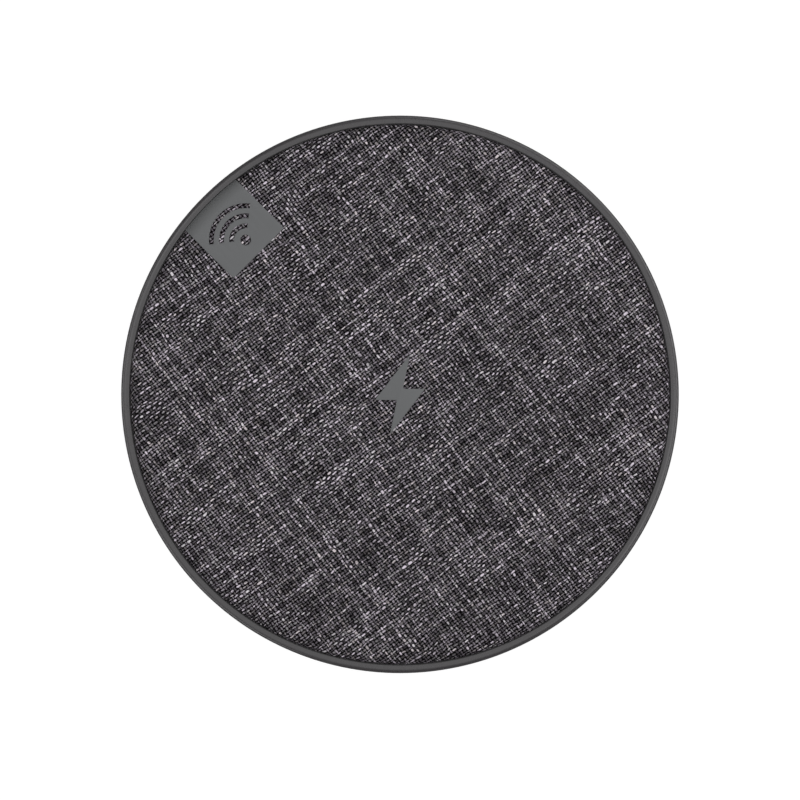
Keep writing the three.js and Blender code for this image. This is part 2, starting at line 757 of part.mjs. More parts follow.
addPiece('outer_ring', outerRing(), 'ringPlastic');
addPiece('fabric_cover', clothTop(), 'cloth');
addPiece('corner_tab', cornerTab(), 'softGrey');
addPiece('centre_mark', centreMark(), 'softGrey');
addPiece('fabric_film', film(disc, clothRadius - clothEdgeRun, plateTopZ), 'film');
addPiece('top_plate', topPlate(), 'innerPlastic');
addPiece('bottom_cover', bottomCover(), 'coverPlastic');
addPiece('foot_ring', footRing(), 'silicone');

const coverScrew = screw({
  shankRadius: coverScrewShankRadius,
  headRadius: coverScrewHeadRadius,
  headHeight: coverScrewHeadHeight,
  seatZ: headSeatZ,
  tipZ: screwTipZ,
});
screwPlaces.forEach(([x, y], i) => {
  addPiece(`cover_screw_${i + 1}`, coverScrew.translate([x, y, 0]), 'steel');
});

addPiece('transmitter_coil', transmitterCoil(), 'copper');
addPiece('coil_film', film(disc, coilOuterRadius, coilTopZ), 'film');
addPiece('ferrite_film', film(slottedDisc, coilOuterRadius, ferriteTopZ), 'film');
addPiece('ferrite_shield', slottedDisc(ferriteRadius, ferriteBottomZ, ferriteTopZ), 'ferrite');
addPiece('coil_sensor', coilSensor(), 'bead');

addPiece('main_board', mainBoard(), 'board');
addPiece('socket_shell', socketShell(), 'steel');
addPiece('socket_insulator', socketInsulator(), 'socketBlack');
for (const [name, size, x, inwards, finish] of boardParts) {
  addPiece(name, boardPart(size, x, inwards), finish);
}
const boardScrew = screw({
  shankRadius: boardScrewShankRadius,
  headRadius: boardScrewHeadRadius,
  headHeight: boardScrewHeadHeight,
  seatZ: boardTopZ,
  tipZ: boardScrewTipZ,
});
boardScrewPlaces.forEach(([x, y], i) => {
  addPiece(`board_screw_${i + 1}`, boardScrew.translate([x, y, 0]), 'steel');
});

addPiece('light_guide', lightGuide(), 'lens');
addPiece('status_light', statusLight(), 'lamp');
addPiece('light_board', lightBoard(), 'board');
addPiece('light_cable', lightCable(), 'cable');

export default chargingPad;
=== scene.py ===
"""The looks of a round wireless charging pad with a woven cloth top, made around its fixed CAD frame.

Metres, +Z up. The charging socket is at +Y, the status light at -Y and the corner tab between -X and +Y.
"""

import bisect
import functools
import logging
import math
from dataclasses import dataclass, field
from enum import Enum
from typing import Any, Iterable, Sequence

import bmesh
import bpy
from mathutils import Matrix, Vector, noise


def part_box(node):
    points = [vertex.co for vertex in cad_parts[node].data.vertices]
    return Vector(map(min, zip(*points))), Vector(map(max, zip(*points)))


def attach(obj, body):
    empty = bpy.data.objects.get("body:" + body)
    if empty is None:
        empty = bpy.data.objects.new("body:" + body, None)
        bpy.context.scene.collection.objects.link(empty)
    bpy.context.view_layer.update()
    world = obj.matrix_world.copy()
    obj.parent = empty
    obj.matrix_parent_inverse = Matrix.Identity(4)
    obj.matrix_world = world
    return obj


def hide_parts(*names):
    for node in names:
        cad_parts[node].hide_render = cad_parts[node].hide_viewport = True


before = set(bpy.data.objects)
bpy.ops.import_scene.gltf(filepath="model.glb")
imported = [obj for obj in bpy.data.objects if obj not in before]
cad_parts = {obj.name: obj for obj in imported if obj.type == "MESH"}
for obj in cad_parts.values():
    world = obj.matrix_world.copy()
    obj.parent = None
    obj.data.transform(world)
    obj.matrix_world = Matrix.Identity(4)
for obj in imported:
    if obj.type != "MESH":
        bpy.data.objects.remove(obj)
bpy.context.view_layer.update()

log = logging.getLogger("charging_pad")

MM = 0.001
BODY = "root"

NEAR = 1e-7  # points closer than this are one point
TINY_GAP = 0.02 * MM  # left between surfaces that only just don't touch

Colour = tuple[float, float, float]
Span = tuple[float, float]
Outline = Sequence[tuple[float, float]]
Mesh = bmesh.types.BMesh
Vert = bmesh.types.BMVert
Edge = bmesh.types.BMEdge
Face = bmesh.types.BMFace


# ---------------------------------------------------------------- shader maths


class Signal:
    """A number on a shader socket; arithmetic on it adds Math nodes."""

    def __init__(self, shader: "Shader", socket: bpy.types.NodeSocket) -> None:
        """Wraps one output socket of a shader's nodes."""
        self.shader = shader
        self.socket = socket

    def __add__(self, other: "Signal | float") -> "Signal":
        """The sum."""
        return self.shader.math("ADD", self, other)

    def __sub__(self, other: "Signal | float") -> "Signal":
        """The difference."""
        return self.shader.math("SUBTRACT", self, other)

    def __rsub__(self, other: "Signal | float") -> "Signal":
        """The difference, from a number."""
        return self.shader.math("SUBTRACT", other, self)

    def __mul__(self, other: "Signal | float") -> "Signal":
        """The product."""
        return self.shader.math("MULTIPLY", self, other)

    def __truediv__(self, other: "Signal | float") -> "Signal":
        """The quotient."""
        return self.shader.math("DIVIDE", self, other)

    def __pow__(self, other: "Signal | float") -> "Signal":
        """The power."""
        return self.shader.math("POWER", self, other)

    def __rpow__(self, other: "Signal | float") -> "Signal":
        """The power of a number."""
        return self.shader.math("POWER", other, self)

    def __gt__(self, other: "Signal | float") -> "Signal":
        """One where it is greater, and nought elsewhere."""
        return self.shader.math("GREATER_THAN", self, other)

    def __abs__(self) -> "Signal":
        """The size without its sign."""
        return self.shader.math("ABSOLUTE", self)

    __radd__ = __add__
    __rmul__ = __mul__


class Shader:
    """The node tree of a material or a world, and the ways to add to it."""

    def __init__(self, owner: bpy.types.Material | bpy.types.World) -> None:
        """Starts the owner's tree empty."""
        owner.use_nodes = True
        self.tree = owner.node_tree
        self.tree.nodes.clear()

    def node(
        self,
        kind: str,
        settings: dict[str, Any] | None = None,
        inputs: dict[str | int, Any] | None = None,
    ) -> bpy.types.Node:
        """Adds one node.

        Args:
            kind: The node's type, without its ShaderNode prefix.
            settings: Its properties, set first.
            inputs: Its sockets' values, or the signals and sockets to link to them.

        Returns:
            The node.
        """
        made = self.tree.nodes.new("ShaderNode" + kind)
        for name, value in (settings or {}).items():
            setattr(made, name, value)
        for name, value in (inputs or {}).items():
            source = value.socket if isinstance(value, Signal) else value
            if isinstance(source, bpy.types.NodeSocket):
                self.tree.links.new(source, made.inputs[name])
            else:
                made.inputs[name].default_value = source
        return made

    def math(self, operation: str, *values: Signal | float) -> Signal:
        """Adds a Math node on the values, and gives its result."""
        made = self.node("Math", {"operation": operation}, dict(enumerate(values)))
        return Signal(self, made.outputs[0])

    def between(self, value: Signal, low: float, high: float) -> Signal:
        """Adds a smooth step that rises from nought at low to one at high."""
        settings = {"interpolation_type": "SMOOTHSTEP"}
        made = self.node("MapRange", settings, {"Value": value, 1: low, 2: high, 3: 0.0, 4: 1.0})
        return Signal(self, made.outputs[0])

    def parts(self, vector: bpy.types.NodeSocket) -> list[Signal]:
        """Adds a split of a vector, and gives its three numbers."""
        split = self.node("SeparateXYZ", {}, {0: vector})
        return [Signal(self, output) for output in split.outputs]

    def choose(self, factor: Signal, low: Signal | float, high: Signal | float) -> Signal:
        """Adds a number mix, from low at nought to high at one."""
        made = self.node("Mix", {"data_type": "FLOAT"}, {0: factor, 2: low, 3: high})
        return Signal(self, made.outputs[0])

    def place(self) -> bpy.types.NodeSocket:
        """The point on the object, in metres."""
        return self.node("TexCoord").outputs["Object"]

    def stretched(self, scale: Colour, turn: float = 0.0) -> bpy.types.NodeSocket:
        """The point on the object, turned about Z and then scaled along each axis."""
        turned = self.node("Mapping", {}, {"Vector": self.place(), "Rotation": (0.0, 0.0, turn)})
        return self.node("Mapping", {}, {"Vector": turned.outputs[0], "Scale": scale}).outputs[0]

    def vector(self, *parts: Signal | float) -> bpy.types.NodeSocket:
        """Joins up to three numbers into a vector."""
        return self.node("CombineXYZ", {}, dict(enumerate(parts))).outputs[0]

    def noise(self, where: Any, scale: float, detail: float = 2.0, roughness: float = 0.5) -> Signal:
        """Adds smooth noise at a point, with its scale in features to the unit."""
        inputs = {"Vector": where, "Scale": scale, "Detail": detail, "Roughness": roughness}
        return Signal(self, self.node("TexNoise", {}, inputs).outputs[0])

    def speckle(self, *parts: Signal | float) -> Signal:
        """Adds a random number that is one value for each combination of its parts."""
        made = self.node("TexWhiteNoise", {}, {"Vector": self.vector(*parts)})
        return Signal(self, made.outputs["Value"])

    def blend(self, factor: Signal | float, low: Any, high: Any) -> bpy.types.NodeSocket:
        """Adds a colour mix, from low at nought to high at one."""
        colours = [(*c, 1.0) if isinstance(c, tuple) else c for c in (low, high)]
        made = self.node("Mix", {"data_type": "RGBA"}, {0: factor, 6: colours[0], 7: colours[1]})
        return made.outputs[2]

    def dimmed(self, colour: Any, share: Signal) -> bpy.types.NodeSocket:
        """Adds a colour's product with a number."""
        made = self.node("VectorMath", {"operation": "SCALE"}, {0: colour, "Scale": share})
        return made.outputs[0]

    def painted_rim_shade_share(self, start: float, end: float, loss: float) -> Signal:
        """Adds a share that falls from one by a loss between two distances from the pad's axis: painted shade
        towards the rim.
        """
        x, y, _ = self.parts(self.place())
        return 1 - self.between((x * x + y * y) ** 0.5, start, end) * loss

    def bump(self, height: Signal, distance: float, strength: float = 1.0) -> bpy.types.NodeSocket:
        """Adds a bump of a height from nought to one, over a distance in metres."""
        inputs = {"Height": height, "Distance": distance, "Strength": strength}
        return self.node("Bump", {}, inputs).outputs[0]

    def surface(self, **sockets: Any) -> None:
        """Adds the surface and the output; a socket's name has underscores for its spaces."""
        inputs = {name.replace("_", " "): value for name, value in sockets.items()}
        for name in ("Base Color", "Emission Color", "Sheen Tint"):
            if isinstance(inputs.get(name), tuple):
                inputs[name] = (*inputs[name], 1.0)
        made = self.node("BsdfPrincipled", {}, inputs)
        self.node("OutputMaterial", {}, {"Surface": made.outputs[0]})


# ---------------------------------------------------------------- finishes


@dataclass(frozen=True)
class Finish:
    """A finish that pieces are dressed in, named for the record's material slot."""

    slot: str

    def material(self) -> bpy.types.Material:
        """Makes the finish's material."""
        made = bpy.data.materials.new(self.slot)
        self.paint(Shader(made))
        return made

    def paint(self, shader: Shader) -> None:
        """Adds the finish's nodes to a shader."""
        raise NotImplementedError


@dataclass(frozen=True)
class Moulded(Finish):
    """A moulded plastic, rubber or ceramic with a fine grain and slightly uneven colour."""

    colour: Colour
    roughness: float = 0.5
    grain: float = 0.12 * MM
    depth: float = 4e-6
    mottle: float = 0.12
    gloss: float = 0.5
    # Painted shade towards the rim: the radii where it starts and is full, and the share that it takes off.
    painted_rim_shade: tuple[float, float, float] | None = None
    rub: float = 0.12
    patch_size: float = 9 * MM
    rub_size: float = 2.5 * MM
    grain_gloss: float = 0.08  # how much the grain changes the roughness

    def paint(self, shader: Shader) -> None:
        """Adds grain to the normal, soft patches and any painted shade towards the rim to the colour, and
        rubbed patches to the gloss.
        """
        where = shader.place()
        grain = shader.noise(where, 1 / self.grain, 3.0, 0.6)
        patches = shader.noise(where, 1 / self.patch_size, 3.0, 0.55)
        rubbed = shader.noise(where, 1 / self.rub_size, 4.0, 0.6)
        share = 1 + (patches - 0.5) * self.mottle + (grain - 0.5) * self.mottle
        # Painted shade towards the rim, where one is given.
        if self.painted_rim_shade:
            share = share * shader.painted_rim_shade_share(*self.painted_rim_shade)
        shader.surface(
            Base_Color=shader.dimmed(self.colour, share),
            Roughness=self.roughness + (rubbed - 0.5) * self.rub + (grain - 0.5) * self.grain_gloss,
            Specular_IOR_Level=self.gloss,
            Normal=shader.bump(grain, self.depth),
        )


@dataclass(frozen=True)
class DrawnMetal(Finish):
    """A plated or drawn metal with fine scratches and a dulled skin."""

    colour: Colour
    roughness: float = 0.3
    line_width: float = 0.05 * MM
    line_length: float = 2 * MM
    line_depth: float = 3e-6
    dull_size: float = 1.2 * MM

    def paint(self, shader: Shader) -> None:
        """Adds drawing lines along Y, and dull patches."""
        scale = (1 / self.line_width, 1 / self.line_length, 1 / self.line_width)
        lines = shader.noise(shader.stretched(scale), 1.0)
        dull = shader.noise(shader.place(), 1 / self.dull_size, 4.0, 0.6)
        shader.surface(
            Base_Color=shader.dimmed(self.colour, 1 + (dull - 0.5) * 0.3 + (lines - 0.5) * 0.25),
            Metallic=1.0,
            Roughness=self.roughness + (dull - 0.5) * 0.25 + (lines - 0.5) * 0.1,
            Normal=shader.bump(lines, self.line_depth),
        )


@dataclass(frozen=True)
class StrandedWire(Finish):
    """Enamelled copper strands, twisted together under a clear wrap."""

    colour: Colour = (0.42, 0.13, 0.035)
    # The dark colour is painted shade between the strands.
    dark: Colour = (0.12, 0.03, 0.008)
    strand: float = 0.12 * MM
    strand_depth: float = 0.04 * MM
    stretch: Colour = (1.0, 0.25, 1.6)
    slant: float = 0.7

    def paint(self, shader: Shader) -> None:
        """Adds slanting strands with painted shade in the gaps between them, under a gloss coat."""
        strands = shader.noise(shader.stretched(self.stretch, self.slant), 1 / self.strand, 2.0)
        lit = shader.between(strands, 0.35, 0.62)
        shader.surface(
            Base_Color=shader.blend(lit, self.dark, self.colour),
            Metallic=0.6,
            Roughness=0.42 - lit * 0.14,
            Coat_Weight=0.5,
            Normal=shader.bump(strands, self.strand_depth),
        )


@dataclass(frozen=True)
class SolderMask(Finish):
    """A printed board: green mask over copper traces, with the weave of its glass underneath."""

    mask: Colour = (0.010, 0.085, 0.030)
    trace: Colour = (0.025, 0.17, 0.05)
    pitch: float = 1.1 * MM
    route: float = 1.6 * MM
    route_stretch: Colour = (1.0, 0.35, 1.0)
    route_slant: float = 0.785
    fibre: float = 0.3 * MM
    copper_depth: float = 0.03 * MM

    def paint(self, shader: Shader) -> None:
        """Adds blocks of traces that stand up a little under the mask."""
        settings = {"feature": "F1", "distance": "CHEBYCHEV"}
        inputs = {"Vector": shader.place(), "Scale": 1 / self.pitch, "Randomness": 0.0}
        cells = Signal(shader, shader.node("TexVoronoi", settings, inputs).outputs[0])
        slanting = shader.stretched(self.route_stretch, self.route_slant)
        routed = shader.noise(slanting, 1 / self.route, 1.0) > 0.5
        copper = shader.between(cells, 0.30, 0.36) * routed
        fibres = shader.noise(shader.place(), 1 / self.fibre, 2.0)
        shader.surface(
            Base_Color=shader.blend(copper, self.mask, self.trace),
            Roughness=0.22 + fibres * 0.18,
            Coat_Weight=0.3,
            Normal=shader.bump(copper + fibres * 0.2, self.copper_depth),
        )


@dataclass(frozen=True)
class LitWindow(Finish):
    """A frosted light guide with a blue lamp behind it."""

    colour: Colour = (0.013, 0.051, 0.376)
    strength: float = 0.6
    half_width: float = 3.6 * MM
    falloff: float = 0.55  # how much of the glow is lost towards the ends
    frost_size: float = 0.1 * MM
    frost_depth: float = 3e-6

    def paint(self, shader: Shader) -> None:
        """Adds a glow that is strongest in the middle, seen through frosting."""
        across = abs(shader.parts(shader.place())[0])
        frosting = shader.noise(shader.place(), 1 / self.frost_size, 3.0, 0.6)
        glow = 1 - shader.between(across, 0.3 * self.half_width, 1.5 * self.half_width) * self.falloff
        shader.surface(
            Base_Color=self.colour,
            Roughness=0.3 + frosting * 0.2,
            Emission_Color=shader.dimmed(self.colour, glow * (0.94 + frosting * 0.12)),
            Emission_Strength=self.strength,
            Normal=shader.bump(frosting, self.frost_depth),
        )


@dataclass(frozen=True)
class PlainWeave(Finish):
    """Cloth in plain weave of melange yarns, painted by the lattice that its UV map holds.

    The map's whole numbers are the crossings. Yarns of the first set run along V and lie on top where
    the two numbers add up to an even one, and yarns of the second set run along U and lie on top elsewhere.
    """

    middle: float = 0.183
    lean: float = 0.1
    patch: float = 9 * MM
    # Painted shade towards the rim, where the cloth turns down.
    painted_rim_shade: tuple[float, float, float] = (51.0 * MM, 53.3 * MM, 0.36)
    tints: tuple[Colour, Colour, Colour] = ((1.03, 0.93, 1.05), (1.0, 0.945, 1.0), (1.04, 0.94, 0.985))
    tint_shares: Span = (0.6, 0.85)  # the draws past which the second and the third tint are taken
    brightest: float = 0.66
    # How strongly each of these changes the tone, as a power of e from its lowest to its highest.
    slub_tone: float = 3.2
    yarn_tone: float = 1.2
    fleck_tone: float = 1.3
    fibre_tone: float = 2.4
    ply_tone: float = 2.7
    balance_tone: float = 5.0
    second_tone: float = 0.25
    gap_shade_tone: float = 4.8
    slub_rates: Span = (0.1, 0.09)  # changes of tone to a crossing, along each set of yarns
    thick_slub: Span = (0.42, 0.72)
    thick_loss: Span = (0.35, 1.6)  # what a thick yarn takes off the gap's width and off its painted shade
    gap_shade_spread: float = 1.6
    corner: float = 2.4  # the power of a float's rounded outline
    float_weights: Span = (0.78, 0.88)
    float_edge: Span = (0.14, 1.05)
    relief: float = 0.06 * MM

    def paint(self, shader: Shader) -> None:
        """Adds the yarns' slubs and tones, painted shade in the gaps between them and towards the rim, and
        their fibres.
        """
        u, v, _ = shader.parts(shader.node("UVMap", {"uv_map": "weave"}).outputs[0])
        column, row = (shader.math("ROUND", x) for x in (u, v))
        odd = shader.math("FLOORED_MODULO", column + row, 2.0)
        reach = 0.5 - self.lean
        past_u, past_v = u - column, v - row
        cross_u = (1 - odd) * (abs(past_u) > reach)
        cross_v = odd * (abs(past_v) > reach)
        column = column + cross_u * shader.math("SIGN", past_u)
        row = row + cross_v * shader.math("SIGN", past_v)
        second = odd + cross_u - cross_v

        # The odd factors and offsets only keep one yarn's draws apart from another's.
        rate_v, rate_u = self.slub_rates
        first_slub = shader.noise(shader.vector(column * 7.31, v * rate_v), 1.0, 3.0, 0.6)
        second_slub = shader.noise(shader.vector(row * 5.17 + 300.0, u * rate_u), 1.0, 3.0, 0.6)
        slub = shader.choose(second, first_slub, second_slub)
        yarn = shader.choose(second, shader.speckle(column, 3.0), shader.speckle(row, 11.0))
        fleck = shader.speckle(column, row, 5.0)
        balance = shader.noise(shader.place(), 1 / self.patch, 2.0) - 0.5
        tone = (slub - 0.5) * self.slub_tone + (yarn - 0.5) * self.yarn_tone + (fleck - 0.5) * self.fleck_tone
        tone = tone + (second - 0.5) * (balance * self.balance_tone + self.second_tone)

        out_u = abs(u - column) / shader.choose(second, reach, 1 - reach)
        out_v = abs(v - row) / shader.choose(second, 1 - reach, reach)
        weight_u, weight_v = self.float_weights
        width_loss, thick_shade_loss = self.thick_loss
        thick = shader.between(slub, *self.thick_slub)
        edge = out_u ** self.corner * weight_u + out_v ** self.corner * weight_v
        edge = edge * (1.1 - thick * width_loss)
        gap = shader.between(edge, *self.float_edge)
        across, along = shader.choose(second, u, v), shader.choose(second, v, u)
        fibres = shader.noise(shader.vector(across * 5.0, along * 1.6, fleck * 40.0), 1.0, 2.0, 0.6)
        plies = shader.noise(shader.vector(across * 2.6, along * 0.7, yarn * 50.0), 1.0, 1.0)

        # Painted shade in the gaps between the yarns, lighter under thick yarns and uneven from crossing to
        # crossing.
        shade = self.gap_shade_tone - thick * thick_shade_loss + (fleck - 0.5) * self.gap_shade_spread
        tone = tone + (fibres - 0.5) * self.fibre_tone + (plies - 0.5) * self.ply_tone - gap * shade
        value = shader.math("MINIMUM", self.middle * math.e ** tone, self.brightest)
        hue = shader.speckle(column, row, 17.0)
        tint = self.tints[0]
        for other, share in zip(self.tints[1:], self.tint_shares):
            tint = shader.blend(hue > share, tint, other)
        # The colour carries painted shade in the gaps and towards the rim.
        shader.surface(
            Base_Color=shader.dimmed(tint, value * shader.painted_rim_shade_share(*self.painted_rim_shade)),
            Roughness=0.8 + fibres * 0.2,
            Specular_IOR_Level=0.0,
            Normal=shader.bump((1 - gap) + fibres * 0.5, self.relief, 0.7),
        )


RING_PLASTIC = Moulded("ring_plastic", (0.050, 0.047, 0.0495), 0.28, 0.14 * MM, 2e-6, 0.06, rub=0.05)
CLOTH = PlainWeave("woven_cloth")
# Grey of the tab and the bolt, with painted shade towards the rim where the tab bends down.
SOFT_GREY = Moulded(
    "soft_grey", (0.121, 0.124, 0.127), 0.62, 0.10 * MM, 5e-6, 0.08, 0.35, painted_rim_shade=(50.4 * MM, 53.3 * MM, 0.40)
)
COVER_PLASTIC = Moulded("cover_plastic", (0.028, 0.028, 0.029), 0.55, 0.22 * MM, 14e-6, 0.2)
SILICONE = Moulded("silicone", (0.017, 0.017, 0.018), 0.78, 0.4 * MM, 6e-6, 0.25, 0.3)
SCREW_STEEL = DrawnMetal("screw_steel", (0.33, 0.33, 0.34), 0.34)
SOCKET_STEEL = DrawnMetal("socket_steel", (0.40, 0.40, 0.41), 0.36)
CONTACT_GOLD = DrawnMetal("socket_steel", (0.83, 0.60, 0.24), 0.25)
SOCKET_BLACK = Moulded("socket_black", (0.008, 0.008, 0.009), 0.5, 0.08 * MM, 3e-6, 0.3)
LIGHT_WINDOW = LitWindow("light_window")

INNER_FINISHES = (
    Moulded("adhesive_film", (0.70, 0.66, 0.55), 0.42, 0.5 * MM, 4e-6, 0.10),
    Moulded("inner_plastic", (0.030, 0.030, 0.032), 0.5, 0.2 * MM, 8e-6, 0.2),
    StrandedWire("coil_wire"),
    Moulded("ferrite", (0.026, 0.024, 0.023), 0.6, 0.07 * MM, 8e-6, 0.5),
    Moulded("sensor_epoxy", (0.015, 0.015, 0.014), 0.16, 0.6 * MM, 8e-6, 0.2),
    SolderMask("circuit_board"),
    Moulded("capacitor_ceramic", (0.40, 0.27, 0.15), 0.5, 0.06 * MM, 5e-6, 0.35),
    Moulded("chip_black", (0.009, 0.009, 0.010), 0.55, 0.05 * MM, 5e-6, 0.4),
    Moulded("light_body", (0.80, 0.76, 0.58), 0.35, 0.1 * MM, 4e-6, 0.15),
    Moulded("cable_insulation", (0.42, 0.04, 0.03), 0.35, 0.3 * MM, 4e-6, 0.12),
    SCREW_STEEL,
    SOCKET_STEEL,
)


# ---------------------------------------------------------------- making meshes


class Join(Enum):
    """What is done to a solid with others."""

    ADD = "UNION"
    CUT = "DIFFERENCE"


def shift(made: Mesh, way: Sequence[float]) -> None:
    """Moves a whole mesh."""
    bmesh.ops.translate(made, verts=made.verts, vec=way)


def turn(made: Mesh, angle: float, axis: str = "Z") -> None:
    """Turns a whole mesh about an axis through the origin."""
    bmesh.ops.rotate(made, verts=made.verts, cent=(0, 0, 0), matrix=Matrix.Rotation(angle, 3, axis))


def swept(made: Mesh, angle: float, steps: int) -> None:
    """Sweeps all of a mesh about Z by an angle, and turns its faces outwards."""
    everything = [*made.verts, *made.edges, *made.faces]
    bmesh.ops.spin(
        made, geom=everything, axis=(0, 0, 1), cent=(0, 0, 0), angle=angle, steps=steps,
        use_merge=angle == math.tau,
    )
    bmesh.ops.remove_doubles(made, verts=made.verts, dist=NEAR)
    bmesh.ops.recalc_face_normals(made, faces=made.faces)


def turned(outline: Outline, steps: int, closed: bool = True) -> Mesh:
    """Turns an outline about Z.

    Args:
        outline: Its corners' radii and heights.
        steps: The facets of a full turn.
        closed: Whether the outline ends where it starts; one that isn't closed starts and ends on the axis.

    Returns:
        The turned solid.
    """
    made = bmesh.new()
    corners = [made.verts.new((radius, 0.0, height)) for radius, height in outline]
    following = corners[1:] + corners[:1] if closed else corners[1:]
    for pair in zip(corners, following):
        made.edges.new(pair)
    swept(made, math.tau, steps)
    return made


def rounded(made: Mesh, edges: Iterable[Edge], size: float, segments: int) -> None:
    """Rounds edges of a mesh.

    Args:
        made: The mesh.
        edges: The edges to round.
        size: The width that each loses from its faces.
        segments: The facets of each round.
    """
    bmesh.ops.bevel(
        made, geom=list(edges), offset=size, offset_type="OFFSET", segments=segments, profile=0.5,
        affect="EDGES", clamp_overlap=True, material=-1,
    )


def circle_edges(made: Mesh, radius: float, height: float) -> list[Edge]:
    """The edges of a turned mesh that lie on the circle of that radius and height."""
    def on_it(vert: Vert) -> bool:
        """Whether a vertex is on the circle."""
        return abs(vert.co.xy.length - radius) < 1e-6 and abs(vert.co.z - height) < 1e-6

    return [edge for edge in made.edges if all(on_it(vert) for vert in edge.verts)]


def rim_edges(made: Mesh, axis: int, level: float) -> list[Edge]:
    """The edges that bound a mesh's flat end, which is square to an axis and at a level on it."""
    return [
        edge for edge in made.edges
        if all(abs(vert.co[axis] - level) < NEAR for vert in edge.verts) and edge.calc_face_angle(0.0) > 1.0
    ]


def upright_edges(made: Mesh) -> list[Edge]:
    """The edges of a mesh that lead up."""
    return [edge for edge in made.edges if abs(edge.verts[0].co.z - edge.verts[1].co.z) > 1e-6]


def sliced(made: Mesh, points: Iterable[Vector], normal: Vector) -> None:
    """Adds edges to a mesh where planes cross it, so that it can bend there."""
    for point in points:
        everything = [*made.verts, *made.edges, *made.faces]
        bmesh.ops.bisect_plane(made, geom=everything, dist=NEAR, plane_co=point, plane_no=normal)


def stadium(width: float, height: float, centre: Vector, segments: int = 48) -> Mesh:
    """A face with round ends, square to Y, about its centre."""
    made = bmesh.new()
    bmesh.ops.create_circle(made, cap_ends=True, segments=segments, radius=height / 2)
    turn(made, math.pi / segments)
    for vert in made.verts:
        vert.co.x += math.copysign((width - height) / 2, vert.co.x)
    turn(made, math.pi / 2, "X")
    shift(made, centre)
    return made


def extruded(made: Mesh, faces: Iterable[Face], way: Vector, keep: bool = False) -> list[Vert]:
    """Extrudes faces of a mesh.

    Args:
        made: The mesh.
        faces: The faces that move.
        way: How far they move, and where to.
        keep: Whether their start stays behind as the solid's other end.

    Returns:
        The moved vertices.
    """
    started = list(faces)
    result = bmesh.ops.extrude_face_region(made, geom=started, use_keep_orig=keep)
    moved = [item for item in result["geom"] if isinstance(item, Vert)]
    bmesh.ops.translate(made, verts=moved, vec=way)
    if not keep:
        bmesh.ops.delete(made, geom=[face for face in started if face.is_valid], context="FACES_ONLY")
    return moved


def prism(made: Mesh, way: Vector) -> Mesh:
    """A flat mesh made into a solid, along a vector."""
    extruded(made, made.faces, way, keep=True)
    bmesh.ops.recalc_face_normals(made, faces=made.faces)
    return made


def add_block(made: Mesh, low: Vector, high: Vector) -> Mesh:
    """Adds a box between two corners to a mesh."""
    matrix = Matrix.Translation((low + high) / 2) @ Matrix.Diagonal((*(high - low), 1.0))
    bmesh.ops.create_cube(made, size=1.0, matrix=matrix)
    return made


def block(low: Sequence[float], high: Sequence[float]) -> Mesh:
    """A box between two corners."""
    return add_block(bmesh.new(), Vector(low), Vector(high))


def pillar(radius: float, low: float, high: float, where: Vector, segments: int = 48) -> Mesh:
    """An upright cylinder between two heights."""
    made = bmesh.new()
    matrix = Matrix.Translation((where.x, where.y, (low + high) / 2))
    bmesh.ops.create_cone(
        made, cap_ends=True, segments=segments, radius1=radius, radius2=radius, depth=high - low,
        matrix=matrix,
    )
    return made


def into_scene(name: str, data: bpy.types.ID) -> bpy.types.Object:
    """Makes an object of a mesh, a camera or a lamp, and adds it to the scene."""
    made = bpy.data.objects.new(name, data)
    bpy.context.scene.collection.objects.link(made)
    return made


def as_object(name: str, made: Mesh) -> bpy.types.Object:
    """Makes a mesh into an object of the scene, and frees it."""
    mesh = bpy.data.meshes.new(name)
    made.to_mesh(mesh)
    made.free()
    return into_scene(name, mesh)


def combined(base: Mesh, join: Join, *tools: Mesh) -> Mesh:
    """Joins tools to a solid or cuts them from it.

    Args:
        base: The solid, which is freed, as the tools are.
        join: What is done.
        tools: The solids to join or cut with.

    Returns:
        The result.
    """
    whole = as_object("work", base)
    parts = [as_object("tool", tool) for tool in tools]
    for part in parts:
        modifier = whole.modifiers.new("join", "BOOLEAN")
        modifier.operation = join.value
        modifier.solver = "EXACT"
        modifier.object = part
    bpy.context.view_layer.update()
    result = bmesh.new()
    result.from_object(whole, bpy.context.evaluated_depsgraph_get())
    for used in [whole, *parts]:
        bpy.data.meshes.remove(used.data)
    bmesh.ops.remove_doubles(result, verts=result.verts, dist=NEAR)
    return result


@functools.cache
def wardrobe(finish: Finish) -> bpy.types.Material:
    """The finish's material, made once."""
    return finish.material()


def add_piece(
    name: str,
    made: Mesh,
    finish: Finish,
    replaced: Sequence[str] = (),
    sharp_degrees: float = 35.0,
) -> bpy.types.Object:
    """Makes a mesh into a finished piece that rides on the pad.

    Args:
        name: The piece's name.
        made: Its mesh, which is freed.
        finish: The finish that it wears.
        replaced: The CAD nodes that it stands for.
        sharp_degrees: The angle past which an edge is shaded sharp.

    Returns:
        The piece.
    """
    piece = as_object(name, made)
    piece.data.shade_smooth()
    piece.data.set_sharp_from_angle(angle=math.radians(sharp_degrees))
    piece.data.materials.append(wardrobe(finish))
    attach(piece, BODY)
    if replaced:
        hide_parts(*replaced)
    log.info("%s: %d faces", name, len(piece.data.polygons))
    return piece


# ---------------------------------------------------------------- the cloth's section


